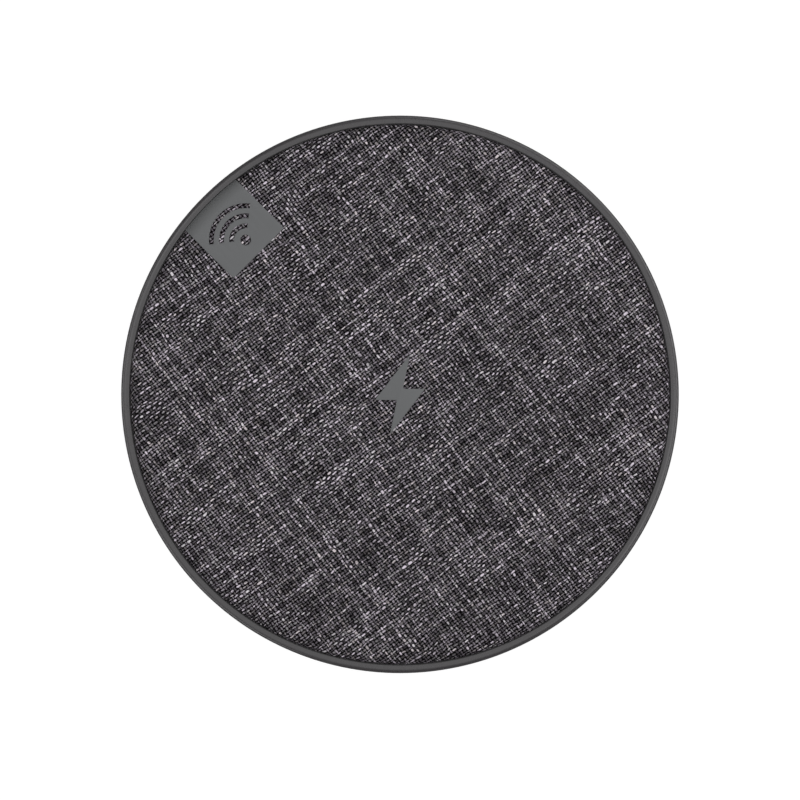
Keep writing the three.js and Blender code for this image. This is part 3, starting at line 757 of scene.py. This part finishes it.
@dataclass
class ClothSection:
    """The cloth's section: flat over the plate, round its edge on a quarter ellipse, and down its skirt."""

    edge_run: float = 1.4 * MM
    edge_drop: float = 1.1 * MM
    steps: int = 60
    radius: float = field(init=False)
    top: float = field(init=False)
    skirt: float = field(init=False)
    flat: float = field(init=False)
    arcs: list[float] = field(init=False)

    def __post_init__(self) -> None:
        """Reads the cloth's place from the frame, and measures along its edge."""
        low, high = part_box("fabric_cover")
        self.radius, self.top = high.x, high.z
        self.flat = self.radius - self.edge_run
        self.skirt = high.z - self.edge_drop - low.z
        points = [self._edge(step / self.steps)[:2] for step in range(self.steps + 1)]
        self.arcs = [0.0]
        for (r0, z0), (r1, z1) in zip(points, points[1:]):
            self.arcs.append(self.arcs[-1] + math.hypot(r1 - r0, z1 - z0))

    @property
    def length(self) -> float:
        """The distance along the cloth from the middle to the skirt's end."""
        return self.flat + self.arcs[-1] + self.skirt

    def _edge(self, share: float) -> tuple[float, float, float, float]:
        """Radius, height and outward normal at a share of the edge's quarter turn."""
        turn = (1 - share) * math.pi / 2
        cos, sin = math.cos(turn), math.sin(turn)
        normal = Vector((cos / self.edge_run, sin / self.edge_drop)).normalized()
        radius = self.flat + self.edge_run * cos
        return radius, self.top - self.edge_drop * (1 - sin), normal.x, normal.y

    def run_to(self, share: float) -> float:
        """The distance along the cloth from the middle to a share of its edge's turn."""
        return self.flat + self.arcs[round(share * self.steps)]

    def place(self, run: float, lift: float, leave: float = 1.0) -> tuple[float, float]:
        """Where a point of the cloth, or of a sheet on it, is.

        Args:
            run: Its distance from the middle, measured along the cloth.
            lift: Its height above the cloth, square to it.
            leave: The share of the edge's turn past which it goes straight on.

        Returns:
            Its radius and height.
        """
        if run <= self.flat:
            return run, self.top + lift
        past = run - self.run_to(leave)
        if past >= 0:
            radius, height, out, up = self._edge(leave)
            return radius + lift * out + past * up, height + lift * up - past * out
        step = bisect.bisect_right(self.arcs, run - self.flat) - 1
        share = (run - self.flat - self.arcs[step]) / (self.arcs[step + 1] - self.arcs[step])
        radius, height, out, up = self._edge((step + share) / self.steps)
        return radius + lift * out, height + lift * up

    def wrap(self, made: Mesh, leave: float = 1.0) -> None:
        """Lays a flat mesh on the cloth: its Z is a height above it, and its radius a distance along it."""
        for vert in made.verts:
            run = vert.co.xy.length
            radius, height = self.place(run, vert.co.z, leave)
            spread = radius / run if run > 1e-9 else 1.0
            vert.co = Vector((vert.co.x * spread, vert.co.y * spread, height))


# ---------------------------------------------------------------- sub-assemblies


@dataclass
class ClothTop:
    """The woven cover, its corner tab and its centre mark."""

    section: ClothSection
    first_bearing: float = math.radians(128.4)  # the way that the first set of yarns runs
    second_bearing: float = math.radians(36.3)
    first_pitch: float = 0.735 * MM
    second_pitch: float = 0.618 * MM
    gap_depth: float = 0.17 * MM
    side_depth: float = 0.085 * MM
    seed: int = 5  # of the yarns' waves
    sway: float = 0.4  # how far a yarn strays from its place, in yarns
    sway_rates: Span = (0.9, 0.17)  # of the sway, from yarn to yarn and along one
    waves: tuple[Span, ...] = ((7 * MM, 0.16 * MM), (1.6 * MM, 0.2 * MM))  # their lengths and sizes
    top_depth: float = 0.02 * MM
    uneven: float = 0.35  # the share by which the depths differ
    uneven_rate: float = 1.7
    lift: float = TINY_GAP  # between the cloth and what lies on it
    tab_bearing: float = math.radians(135)
    tab_width: float = 14.1 * MM
    tab_start: float = 39.4 * MM
    tab_corner: float = 0.5 * MM
    tab_thickness: float = 0.2 * MM
    tab_leave: float = 0.61  # the share of the cloth's turn where the tab leaves it
    tab_bridge: float = 0.25 * MM  # the tab's straight end, from there to the ring
    sign_offset: float = 3.65 * MM  # from the tab's inner edge to the sign's dot
    dot_radius: float = 1.05 * MM
    arc_radii: tuple[float, ...] = (2.3 * MM, 4.3 * MM, 6.3 * MM)
    arc_width: float = 0.95 * MM
    arc_span: float = math.radians(104)
    bolt_width: float = 9.9 * MM
    bolt_height: float = 15.8 * MM
    bolt_corners: Outline = (
        (0.2, 0.5), (-0.5, -0.07), (-0.06, -0.07), (-0.2, -0.5), (0.5, 0.07), (0.06, 0.07),
    )
    bolt_round: float = 0.3 * MM
    round_edge: float = 0.07 * MM
    bend_margin: float = 0.6 * MM  # the sheet is sliced finely from this far inside the cloth's edge
    bend_step: float = 0.2 * MM
    cross_step: float = 0.8 * MM
    cross_slices: int = 8  # to each side of the sheet's middle
    edge_steps: int = 720  # of the circle that ends the tab at the ring
    arc_steps: int = 48

    def build(self) -> None:
        """Makes the three pieces."""
        self.cover()
        self.corner_tab()
        self.centre_mark()

    def steps(self) -> tuple[Vector, Vector]:
        """The steps from a crossing to the next one along the second yarns, and along the first ones."""
        along_first = Vector((math.cos(self.first_bearing), math.sin(self.first_bearing)))
        along_second = Vector((math.cos(self.second_bearing), math.sin(self.second_bearing)))
        slant = abs(math.sin(self.first_bearing - self.second_bearing))
        return along_second * (self.first_pitch / slant), along_first * (self.second_pitch / slant)

    def cover(self) -> None:
        """Weaves the cover: a lattice with four points to a crossing, lifted where a yarn lies on top."""
        noise.seed_set(self.seed)
        step_u, step_v = self.steps()
        reach = self.section.length
        count_u = 2 * (math.ceil(reach / step_u.length) + 3)
        count_v = 2 * (math.ceil(reach / step_v.length) + 3)
        made = bmesh.new()
        bmesh.ops.create_grid(made, x_segments=2 * count_u, y_segments=2 * count_v, size=1.0)
        lattice = {}
        for vert in made.verts:
            u, v = round(vert.co.x * count_u) / 2, round(vert.co.y * count_v) / 2
            spot = self.crossing(u, v, step_u, step_v)
            lattice[vert] = (u, v)
            vert.co = Vector((*spot, self.depth(u, v)))
        outside = [vert for vert in made.verts if vert.co.xy.length > reach]
        for vert in outside:
            del lattice[vert]
        bmesh.ops.delete(made, geom=outside, context="VERTS")
        self.trim(made, reach)
        weave = made.loops.layers.uv.new("weave")
        for face in made.faces:
            for loop in face.loops:
                loop[weave].uv = lattice[loop.vert]
        self.section.wrap(made)
        bmesh.ops.recalc_face_normals(made, faces=made.faces)
        if sum(face.normal.z for face in made.faces) < 0:
            bmesh.ops.reverse_faces(made, faces=made.faces)
        piece = add_piece("woven_cover", made, CLOTH, ["fabric_cover"], sharp_degrees=180.0)

    def crossing(self, u: float, v: float, step_u: Vector, step_v: Vector) -> Vector:
        """Where a lattice point lies on the flat cloth, with the yarns' slight waves."""
        if u % 1 != v % 1:  # between two crossings, the one on top keeps more room along its yarn
            first_below = (math.floor(u) + math.floor(v)) % 2
            if u % 1:
                u += CLOTH.lean if first_below else -CLOTH.lean
            else:
                v += -CLOTH.lean if first_below else CLOTH.lean
        over, along = self.sway_rates
        sway_u = self.sway * noise.noise(Vector((u * over, v * along, 1.0)))
        sway_v = self.sway * noise.noise(Vector((u * along, v * over, 9.0)))
        spot = step_u * (u + sway_u) + step_v * (v + sway_v)
        for length, size in self.waves:
            spot += noise.noise_vector((spot / length).to_3d()).xy * size
        return spot

    def depth(self, u: float, v: float) -> float:
        """How far a lattice point lies under the crossings' tops."""
        uneven = 1 + self.uneven * noise.noise(Vector((u * self.uneven_rate, v * self.uneven_rate, 4.0)))
        if u % 1 and v % 1:
            return -self.gap_depth * uneven
        if u % 1 or v % 1:
            return -self.side_depth * uneven
        return -self.top_depth * uneven

    def trim(self, made: Mesh, reach: float) -> None:
        """Cuts off the faces that hang by one side, and draws the cut edge onto its circle."""
        while loose := [f for f in made.faces if sum(e.is_boundary for e in f.edges) > 2]:
            bmesh.ops.delete(made, geom=loose, context="FACES")
        for vert in [vert for vert in made.verts if vert.is_boundary]:
            vert.co.xy *= reach / vert.co.xy.length

    def corner_tab(self) -> None:
        """Cuts the tab and its wireless sign from a flat sheet, rounds its edges and lays it on the cloth."""
        end = self.section.run_to(self.tab_leave) + self.tab_bridge
        half = self.tab_width / 2
        base = block((self.tab_start, -half, 0.0), (end + half, half, self.tab_thickness))
        corners = [edge for edge in upright_edges(base) if edge.verts[0].co.x < self.tab_start + NEAR]
        rounded(base, corners, self.tab_corner, 6)
        beyond = turned([(end, -MM), (end + 4 * half, -MM), (end + 4 * half, MM), (end, MM)], self.edge_steps)
        tab = combined(base, Join.CUT, beyond, *self.sign())
        bmesh.ops.dissolve_limit(tab, angle_limit=0.001, verts=tab.verts, edges=tab.edges)
        rounded(tab, rim_edges(tab, 2, self.tab_thickness), self.round_edge, 3)
        self.slice_bend(tab, end)
        shift(tab, (0, 0, self.lift))
        turn(tab, self.tab_bearing)
        self.section.wrap(tab, self.tab_leave)
        add_piece("soft_corner_tab", tab, SOFT_GREY, ["corner_tab"])

    def slice_bend(self, made: Mesh, end: float) -> None:
        """Slices a flat sheet finely where the cloth's edge will bend it."""
        start = self.section.flat - self.bend_margin
        count = int((end - start) / self.bend_step) + 1
        sliced(made, (Vector((start + self.bend_step * k, 0, 0)) for k in range(count)), Vector((1, 0, 0)))
        cuts = range(-self.cross_slices, self.cross_slices + 1)
        sliced(made, (Vector((0, self.cross_step * k, 0)) for k in cuts), Vector((0, 1, 0)))

    def sign(self) -> list[Mesh]:
        """The cutters of a dot and three arcs that open towards the pad's edge."""
        where = Vector((self.tab_start + self.sign_offset, 0.0, 0.0))
        cutters = [pillar(self.dot_radius, -MM, MM, where, 64)]
        for radius in self.arc_radii:
            outer = radius + self.arc_width
            corners = ((radius, -MM), (outer, -MM), (outer, MM), (radius, MM))
            arc = bmesh.new()
            arc.faces.new(arc.verts.new((r, 0.0, z)) for r, z in corners)
            turn(arc, -self.arc_span / 2)
            swept(arc, self.arc_span, self.arc_steps)
            shift(arc, where)
            cutters.append(arc)
        return cutters

    def centre_mark(self) -> None:
        """Makes the lightning bolt, with rounded edges."""
        low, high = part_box("centre_mark")
        made = bmesh.new()
        made.faces.new(
            made.verts.new((x * self.bolt_width, y * self.bolt_height, low.z)) for x, y in self.bolt_corners
        )
        solid = prism(made, Vector((0, 0, high.z - low.z)))
        rounded(solid, upright_edges(solid), self.bolt_round, 5)
        rounded(solid, rim_edges(solid, 2, high.z), self.round_edge, 3)
        add_piece("bolt_mark", solid, SOFT_GREY, ["centre_mark"])


@dataclass
class Housing:
    """The outer ring, the bottom cover with its screws, and the foot ring."""

    steps: int = 240
    top_band: float = 1.6 * MM
    edge_radius: float = 1.0 * MM
    lip: float = 0.15 * MM
    wall: float = 2.2 * MM
    ledge_width: float = 2.2 * MM
    ledge_bottom: float = 6.69 * MM
    ledge_top: float = 7.69 * MM
    slot_edge: float = 0.12 * MM
    slot_zone: Span = (2 * MM, 7.5 * MM)  # the heights between which both slots lie
    window_gap: float = 0.1 * MM
    socket_gap: float = 0.3 * MM
    floor_thickness: float = 1.4 * MM
    rim_thickness: float = 1.2 * MM
    boss_radius: float = 3.1 * MM
    boss_height: float = 1.5 * MM
    head_clearance: float = 0.1 * MM
    shank_radius: float = 1.1 * MM
    seat_depth: float = 1.1 * MM
    cover_edge: float = 0.25 * MM
    overlap: float = 0.1 * MM  # of solids that are joined
    notch_depth: float = 3 * MM
    foot_width: float = 6 * MM
    foot_edge: float = 0.15 * MM
    foot_gap: float = 0.15 * MM
    foot_seat: float = 0.6 * MM
    screws: int = 4
    rest_radius: float = 2.2 * MM  # the main board's rests
    rest_inset: float = 3.5 * MM  # the rear rests stand this far behind the socket's shell
    pilot_radius: float = 0.8 * MM
    post_grip: float = 1.0 * MM  # the light board's posts hold this much of its ends
    post_wall: float = 0.9 * MM
    play: float = 0.1 * MM  # round a board or a screw
    pan_height: float = 1.1 * MM
    pan_edge: float = 0.45 * MM
    core_radius: float = 1.0 * MM
    screw_steps: int = 48
    point_length: float = 0.5 * MM
    cross: tuple[float, float, float] = (1.1 * MM, 0.22 * MM, 0.7 * MM)  # its reach, half width and depth

    def build(self, window: "StatusLight", socket: "ChargingSocket") -> None:
        """Makes the housing's pieces, with slots for the window and the socket."""
        self.outer_ring(window, socket)
        self.foot_ring()
        self.bottom_cover()
        for number in range(1, self.screws + 1):
            self.cover_screw(number)

    def outer_ring(self, window: "StatusLight", socket: "ChargingSocket") -> None:
        """Turns the ring, rounds its edges and cuts its two slots."""
        low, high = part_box("outer_ring")
        radius, bottom, top = high.x, low.z, high.z
        opening = radius - self.top_band
        wall = radius - self.wall
        ledge = opening - self.ledge_width
        ring = turned([
            (wall, bottom), (radius, bottom), (radius, top), (opening, top), (opening, self.ledge_top),
            (ledge, self.ledge_top), (ledge, self.ledge_bottom), (wall, self.ledge_bottom),
        ], self.steps)
        for height in (bottom, top):
            rounded(ring, circle_edges(ring, radius, height), self.edge_radius, 8)
        rounded(ring, circle_edges(ring, opening, top), self.lip, 3)
        depth = Vector((0, 2 * self.wall + self.ledge_width, 0))
        slots = []
        for part, gap, side in ((window, self.window_gap, -1), (socket, self.socket_gap, 1)):
            start = Vector((0, side * (radius + MM), part.centre))
            mouth = stadium(part.width + 2 * gap, part.height + 2 * gap, start)
            slots.append(prism(mouth, -side * depth))
        ring = combined(ring, Join.CUT, *slots)
        rims = [edge for edge in ring.edges if self.is_slot_rim(edge, radius)]
        rounded(ring, rims, self.slot_edge, 3)
        add_piece("satin_ring", ring, RING_PLASTIC, ["outer_ring"], sharp_degrees=13.0)

    def is_slot_rim(self, edge: Edge, radius: float) -> bool:
        """Whether an edge bounds a slot on the ring's outer face."""
        low, high = self.slot_zone
        for vert in edge.verts:
            if abs(vert.co.xy.length - radius) > TINY_GAP / 2 or not low < vert.co.z < high:
                return False
        return edge.calc_face_angle(0.0) > 0.6

    def foot_ring(self) -> None:
        """Turns the foot ring, with a soft round on both edges of its sole."""
        low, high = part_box("foot_ring")
        outer = high.x
        inner = outer - self.foot_width
        ring = turned([(inner, low.z), (outer, low.z), (outer, high.z), (inner, high.z)], self.steps)
        for radius in (inner, outer):
            rounded(ring, circle_edges(ring, radius, low.z), self.foot_edge, 4)
        add_piece("silicone_foot", ring, SILICONE, ["foot_ring"])

    def screw_places(self) -> list[Vector]:
        """The middle of each cover screw."""
        boxes = [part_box(f"cover_screw_{number}") for number in range(1, self.screws + 1)]
        return [(low + high) / 2 for low, high in boxes]

    def bottom_cover(self) -> None:
        """Turns the cover, adds its screw bosses and cuts the screws' recesses and the two notches."""
        low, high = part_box("bottom_cover")
        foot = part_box("foot_ring")[1].x
        outer, bottom = high.x, low.z
        cavity = outer - self.rim_thickness
        floor_top = bottom + self.floor_thickness
        groove_out = foot + self.foot_gap
        groove_in = foot - self.foot_width - self.foot_gap
        seat = bottom + self.foot_seat
        cover = turned([
            (0.0, bottom), (groove_in, bottom), (groove_in, seat), (groove_out, seat), (groove_out, bottom),
            (outer, bottom), (outer, high.z), (cavity, high.z), (cavity, floor_top), (0.0, floor_top),
        ], self.steps, closed=False)
        rounded(cover, circle_edges(cover, outer, bottom), self.cover_edge, 3)
        places = self.screw_places()
        boss_top = floor_top + self.boss_height
        bosses = [pillar(self.boss_radius, floor_top - self.overlap, boss_top, spot) for spot in places]
        supports, cutters = self.supports(floor_top, high.z)
        cover = combined(cover, Join.ADD, *bosses, *supports)
        head_low, head_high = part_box("cover_screw_1")
        head = (head_high.x - head_low.x) / 2 + self.head_clearance
        cutters += [pillar(head, bottom - MM, boss_top - self.seat_depth, spot) for spot in places]
        cutters += [pillar(self.shank_radius, bottom, boss_top + MM, spot) for spot in places]
        cutters += [self.notch("socket_shell", 1, high), self.notch("light_guide", -1, high)]
        cover = combined(cover, Join.CUT, *cutters)
        add_piece("cover_shell", cover, COVER_PLASTIC, ["bottom_cover"])

    def supports(self, floor_top: float, rim_top: float) -> tuple[list[Mesh], list[Mesh]]:
        """The rests and posts that hold the two boards.

        Args:
            floor_top: The height of the cover's inner floor.
            rim_top: The height of its rim, which the posts don't pass.

        Returns:
            The solids to join to the cover, and the pilot holes and the groove to cut from them.
        """
        start = floor_top - self.overlap
        board_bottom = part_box("main_board")[0].z
        rear_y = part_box("socket_shell")[0].y - self.rest_inset
        solids, cutters = [], []
        for number in (1, 2):
            low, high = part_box(f"board_screw_{number}")
            front = (low + high) / 2
            for spot in (front, Vector((front.x, rear_y, 0))):
                solids.append(pillar(self.rest_radius, start, board_bottom - TINY_GAP, spot))
            cutters.append(pillar(self.pilot_radius, low.z - self.play, board_bottom + MM, front, 32))
        low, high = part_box("light_board")
        for side in (-1, 1):
            ends = sorted((side * (high.x - self.post_grip), side * (high.x + self.post_wall)))
            solids.append(block(
                (ends[0], low.y - self.post_wall, start),
                (ends[1], high.y + self.post_wall, min(high.z, rim_top)),
            ))
        play = Vector((self.play, self.play, self.play))
        cutters.append(block(low - play, high + play + Vector((0, 0, MM))))
        return solids, cutters

    def notch(self, node: str, side: int, cover_high: Vector) -> Mesh:
        """The cutter of a notch in the cover's rim, where another part passes through it."""
        low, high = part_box(node)
        ends = sorted((side * (cover_high.x + MM), side * (cover_high.x - self.notch_depth)))
        gap = self.socket_gap
        return block((low.x - gap, ends[0], low.z - gap), (high.x + gap, ends[1], cover_high.z + MM))

    def cover_screw(self, number: int) -> None:
        """Makes one pan-head screw with a cross recess and a short plain shank."""
        low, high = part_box(f"cover_screw_{number}")
        middle = (low + high) / 2
        radius = (high.x - low.x) / 2
        seat, core = low.z + self.pan_height, self.core_radius
        screw = turned([
            (0.0, low.z), (radius, low.z), (radius, seat), (core, seat), (core, high.z - self.point_length),
            (0.0, high.z),
        ], self.screw_steps, closed=False)
        rounded(screw, circle_edges(screw, radius, low.z), self.pan_edge, 5)
        reach, half, depth = self.cross
        slots = [
            block((-x, -y, low.z - MM), (x, y, low.z + depth)) for x, y in ((reach, half), (half, reach))
        ]
        screw = combined(screw, Join.CUT, *slots)
        shift(screw, (middle.x, middle.y, 0))
        add_piece(f"pan_head_screw_{number}", screw, SCREW_STEEL, [f"cover_screw_{number}"])


@dataclass
class StatusLight:
    """The light guide: a window in the ring, lit from behind, and the flange that holds it."""

    width: float = 6.5 * MM
    height: float = 1.75 * MM
    inset: float = 0.06 * MM
    edge: float = 0.14 * MM
    flange: float = 1.0 * MM
    flange_thickness: float = 0.9 * MM
    slice_step: float = 0.45 * MM  # so finely is the face cut up, to follow the ring
    slices: int = 7  # to each side of its middle
    curved_depth: float = 0.5 * MM

    @property
    def centre(self) -> float:
        """The window's height above the floor."""
        low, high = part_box("outer_ring")
        return (low.z + high.z) / 2

    def build(self) -> None:
        """Makes the guide, with a face that follows the ring."""
        ring_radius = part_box("outer_ring")[1].x
        back = Vector((0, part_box("light_guide")[1].y, self.centre))
        guide = stadium(self.width + 2 * self.flange, self.height + 2 * self.flange, back)
        prism(guide, Vector((0, -self.flange_thickness, 0)))
        front = min(guide.faces, key=lambda face: face.calc_center_median().y)
        bmesh.ops.inset_region(guide, faces=[front], thickness=self.flange, depth=0.0, use_even_offset=True)
        window = min(
            (face for face in guide.faces if len(face.verts) > 4),
            key=lambda face: (round(face.calc_center_median().y, 6), face.calc_area()),
        )
        face_y = -(ring_radius - self.inset)
        reach = face_y - window.calc_center_median().y
        moved = extruded(guide, [window], Vector((0, reach, 0)))
        rim = {edge for vert in moved for edge in vert.link_edges if edge.other_vert(vert) in moved}
        rounded(guide, rim, self.edge, 4)
        cuts = range(-self.slices, self.slices + 1)
        sliced(guide, (Vector((self.slice_step * k, 0, 0)) for k in cuts), Vector((1, 0, 0)))
        for vert in guide.verts:
            if vert.co.y < face_y + self.curved_depth:
                vert.co.y += ring_radius - math.sqrt(ring_radius**2 - vert.co.x**2)
        bmesh.ops.recalc_face_normals(guide, faces=guide.faces)
        add_piece("lit_window", guide, LIGHT_WINDOW, ["light_guide"])


@dataclass
class ChargingSocket:
    """The socket in the ring: a drawn steel shell around a tongue with two rows of contacts."""

    width: float = 8.94 * MM
    height: float = 3.2 * MM
    wall: float = 0.3 * MM
    lip: float = 0.08 * MM
    tongue_width: float = 6.69 * MM
    tongue_thickness: float = 0.7 * MM
    tongue_length: float = 4.45 * MM
    contacts: int = 12
    contact_pitch: float = 0.5 * MM
    contact_width: float = 0.25 * MM
    contact_length: float = 3.4 * MM
    contact_proud: float = 0.03 * MM
    contact_inset: float = 0.35 * MM
    clearance: float = 0.05 * MM
    tip_round: float = 0.18 * MM
    tongue_root: float = 0.2 * MM  # how far the tongue goes into the block behind it

    @property
    def centre(self) -> float:
        """The socket's middle above the floor."""
        low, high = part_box("socket_insulator")
        return low.z / 2 + high.z / 2

    def build(self) -> None:
        """Makes the shell, the insulator and the contacts."""
        self.shell()
        self.insulator()
        self.contact_rows()

    def shell(self) -> None:
        """Makes the shell from a ring of faces at its mouth."""
        low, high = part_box("socket_shell")
        made = stadium(self.width, self.height, Vector((0, high.y, self.centre)))
        whole = made.faces[:][0]
        bmesh.ops.inset_region(
            made, faces=[whole], thickness=self.wall, depth=0.0, use_even_offset=True, use_boundary=True
        )
        inner = max(made.faces, key=lambda face: len(face.verts))
        bmesh.ops.delete(made, geom=[inner], context="FACES_ONLY")
        shell = prism(made, Vector((0, low.y - high.y, 0)))
        rounded(shell, rim_edges(shell, 1, high.y), self.lip, 3)
        add_piece("steel_shell", shell, SOCKET_STEEL, ["socket_shell"])

    def insulator(self) -> None:
        """Makes the block at the shell's back and the tongue that stands out of it."""
        low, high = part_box("socket_insulator")
        block_end = high.y - self.tongue_length
        inwards = 2 * (self.wall + self.clearance)
        back = Vector((0, low.y, self.centre))
        base = stadium(self.width - inwards, self.height - inwards, back)
        prism(base, Vector((0, block_end - low.y, 0)))
        x, z = self.tongue_width / 2, self.tongue_thickness / 2
        tongue = block((-x, block_end - self.tongue_root, self.centre - z), (x, high.y, self.centre + z))
        rounded(tongue, rim_edges(tongue, 1, high.y), self.tip_round, 3)
        add_piece("socket_tongue", combined(base, Join.ADD, tongue), SOCKET_BLACK, ["socket_insulator"])

    def contact_rows(self) -> None:
        """Lays a row of contacts on each face of the tongue."""
        made = bmesh.new()
        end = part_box("socket_insulator")[1].y - self.contact_inset
        half = Vector((self.contact_width / 2, self.contact_length / 2, self.contact_proud))
        for side in (-1, 1):
            height = self.centre + side * self.tongue_thickness / 2
            for number in range(self.contacts):
                x = (number - (self.contacts - 1) / 2) * self.contact_pitch
                middle = Vector((x, end - half.y, height))
                add_block(made, middle - half, middle + half)
        add_piece("contact_rows", made, CONTACT_GOLD)


# ---------------------------------------------------------------- studio


@dataclass(frozen=True)
class BrightSide:
    """A side of the surroundings that is brighter, for the reflections on the wall."""

    bearing: float  # in degrees from +X
    dark: float  # the cosine of the angle from it at which its light starts
    bright: float  # and at which it is full
    strength: float


@dataclass(frozen=True)
class SoftBox:
    """A square lamp that faces the pad."""

    name: str
    bearing: float  # in degrees from +X
    power: float  # in watts
    elevation: float = 52.0
    distance: float = 0.9
    size: float = 0.5

    def hang(self) -> None:
        """Adds the lamp to the scene."""
        data = bpy.data.lights.new(self.name, "AREA")
        data.size = self.size
        data.energy = self.power
        lamp = into_scene(self.name, data)
        around, rise = math.radians(self.bearing), math.radians(self.elevation)
        way = Vector((math.cos(around) * math.cos(rise), math.sin(around) * math.cos(rise), math.sin(rise)))
        lamp.location = way * self.distance
        lamp.rotation_euler = way.to_track_quat("Z", "Y").to_euler()


@dataclass
class Studio:
    """The camera, the floor and the soft light."""

    view_width: float = 157.8 * MM
    view_shift: float = -1.11 * MM
    camera_height: float = 0.6
    clip: Span = (0.01, 10.0)
    floor_size: float = 6.0
    glow: float = 0.93
    paper: Colour = (0.15, 0.15, 0.15)
    overhead: float = 1.22
    around: float = 0.04
    below: float = 1.1
    # The heights on a unit sphere between which each light comes or goes.
    ceiling: Span = (0.5, 0.9)
    band_rise: Span = (-0.2, 0.0)
    band_fall: Span = (0.1, 0.35)
    ground: Span = (-0.55, -0.25)
    sides: tuple[BrightSide, ...] = (BrightSide(25.0, 0.0, 1.0, 5.4), BrightSide(-160.0, 0.60, 0.78, 3.8))
    lamps: tuple[SoftBox, ...] = (SoftBox("key", -20.0, 1.2), SoftBox("fill", 160.0, 0.9))

    def camera(self) -> None:
        """Looks straight down on the pad, with the socket's side at the top."""
        data = bpy.data.cameras.new("camera")
        data.type = "ORTHO"
        data.ortho_scale = self.view_width
        data.clip_start, data.clip_end = self.clip
        camera = into_scene("camera", data)
        camera.location = (0.0, self.view_shift, self.camera_height)
        bpy.context.scene.camera = camera
        bpy.context.scene.view_settings.view_transform = "Standard"

    def floor(self) -> None:
        """Lays a white sweep that glows a little, so that shadows on it stay faint."""
        made = bmesh.new()
        bmesh.ops.create_grid(made, x_segments=1, y_segments=1, size=self.floor_size / 2)
        floor = as_object("floor", made)
        material = bpy.data.materials.new("floor")
        shader = Shader(material)
        seen = shader.node("LightPath").outputs["Is Camera Ray"]
        paper = shader.node("BsdfDiffuse", {}, {"Color": (*self.paper, 1.0)})
        glow = shader.node("Emission", {}, {"Strength": Signal(shader, seen) * self.glow})
        both = shader.node("AddShader", {}, {0: paper.outputs[0], 1: glow.outputs[0]})
        shader.node("OutputMaterial", {}, {"Surface": both.outputs[0]})
        floor.data.materials.append(material)

    def world(self) -> None:
        """Surrounds the pad with white for the camera, and with soft light for the rest."""
        world = bpy.data.worlds.new("studio")
        bpy.context.scene.world = world
        shader = Shader(world)
        x, y, z = shader.parts(shader.node("TexCoord").outputs["Generated"])
        high = shader.between(z, *self.ceiling)
        band = shader.between(z, *self.band_rise) * (1 - shader.between(z, *self.band_fall))
        light = self.around + high * (self.overhead - self.around)
        light = light + (1 - shader.between(z, *self.ground)) * self.below
        for side in self.sides:
            bearing = math.radians(side.bearing)
            towards = x * math.cos(bearing) + y * math.sin(bearing)
            light = light + shader.between(towards, side.dark, side.bright) * band * side.strength
        soft = shader.node("Background", {}, {"Color": (1.0, 1.0, 1.0, 1.0), "Strength": light})
        white = shader.node("Background", {}, {"Color": (1.0, 1.0, 1.0, 1.0), "Strength": 1.0})
        seen = shader.node("LightPath").outputs["Is Camera Ray"]
        mixed = shader.node("MixShader", {}, {0: seen, 1: soft.outputs[0], 2: white.outputs[0]})
        shader.node("OutputWorld", {}, {"Surface": mixed.outputs[0]})

    def build(self) -> None:
        """Sets up the camera, the floor, the surroundings and the lamps."""
        self.camera()
        self.floor()
        self.world()
        for lamp in self.lamps:
            lamp.hang()


def dress_inner_parts() -> None:
    """Gives each CAD node that still shows the finish of its slot."""
    finishes = {finish.slot: finish for finish in INNER_FINISHES}
    for name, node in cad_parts.items():
        if node.hide_render:
            continue
        slot = node.data.materials[0].name.split(".")[0]
        node.data.materials.clear()
        node.data.materials.append(wardrobe(finishes[slot]))
        log.info("%s wears %s", name, slot)


def main() -> None:
    """Builds the studio and then the pad, from its top down."""
    logging.basicConfig(level=logging.INFO, format="%(name)s %(message)s")
    Studio().build()
    window, socket = StatusLight(), ChargingSocket()
    ClothTop(ClothSection()).build()
    Housing().build(window, socket)
    window.build()
    socket.build()
    dress_inner_parts()


if __name__ == "__main__":
    main()
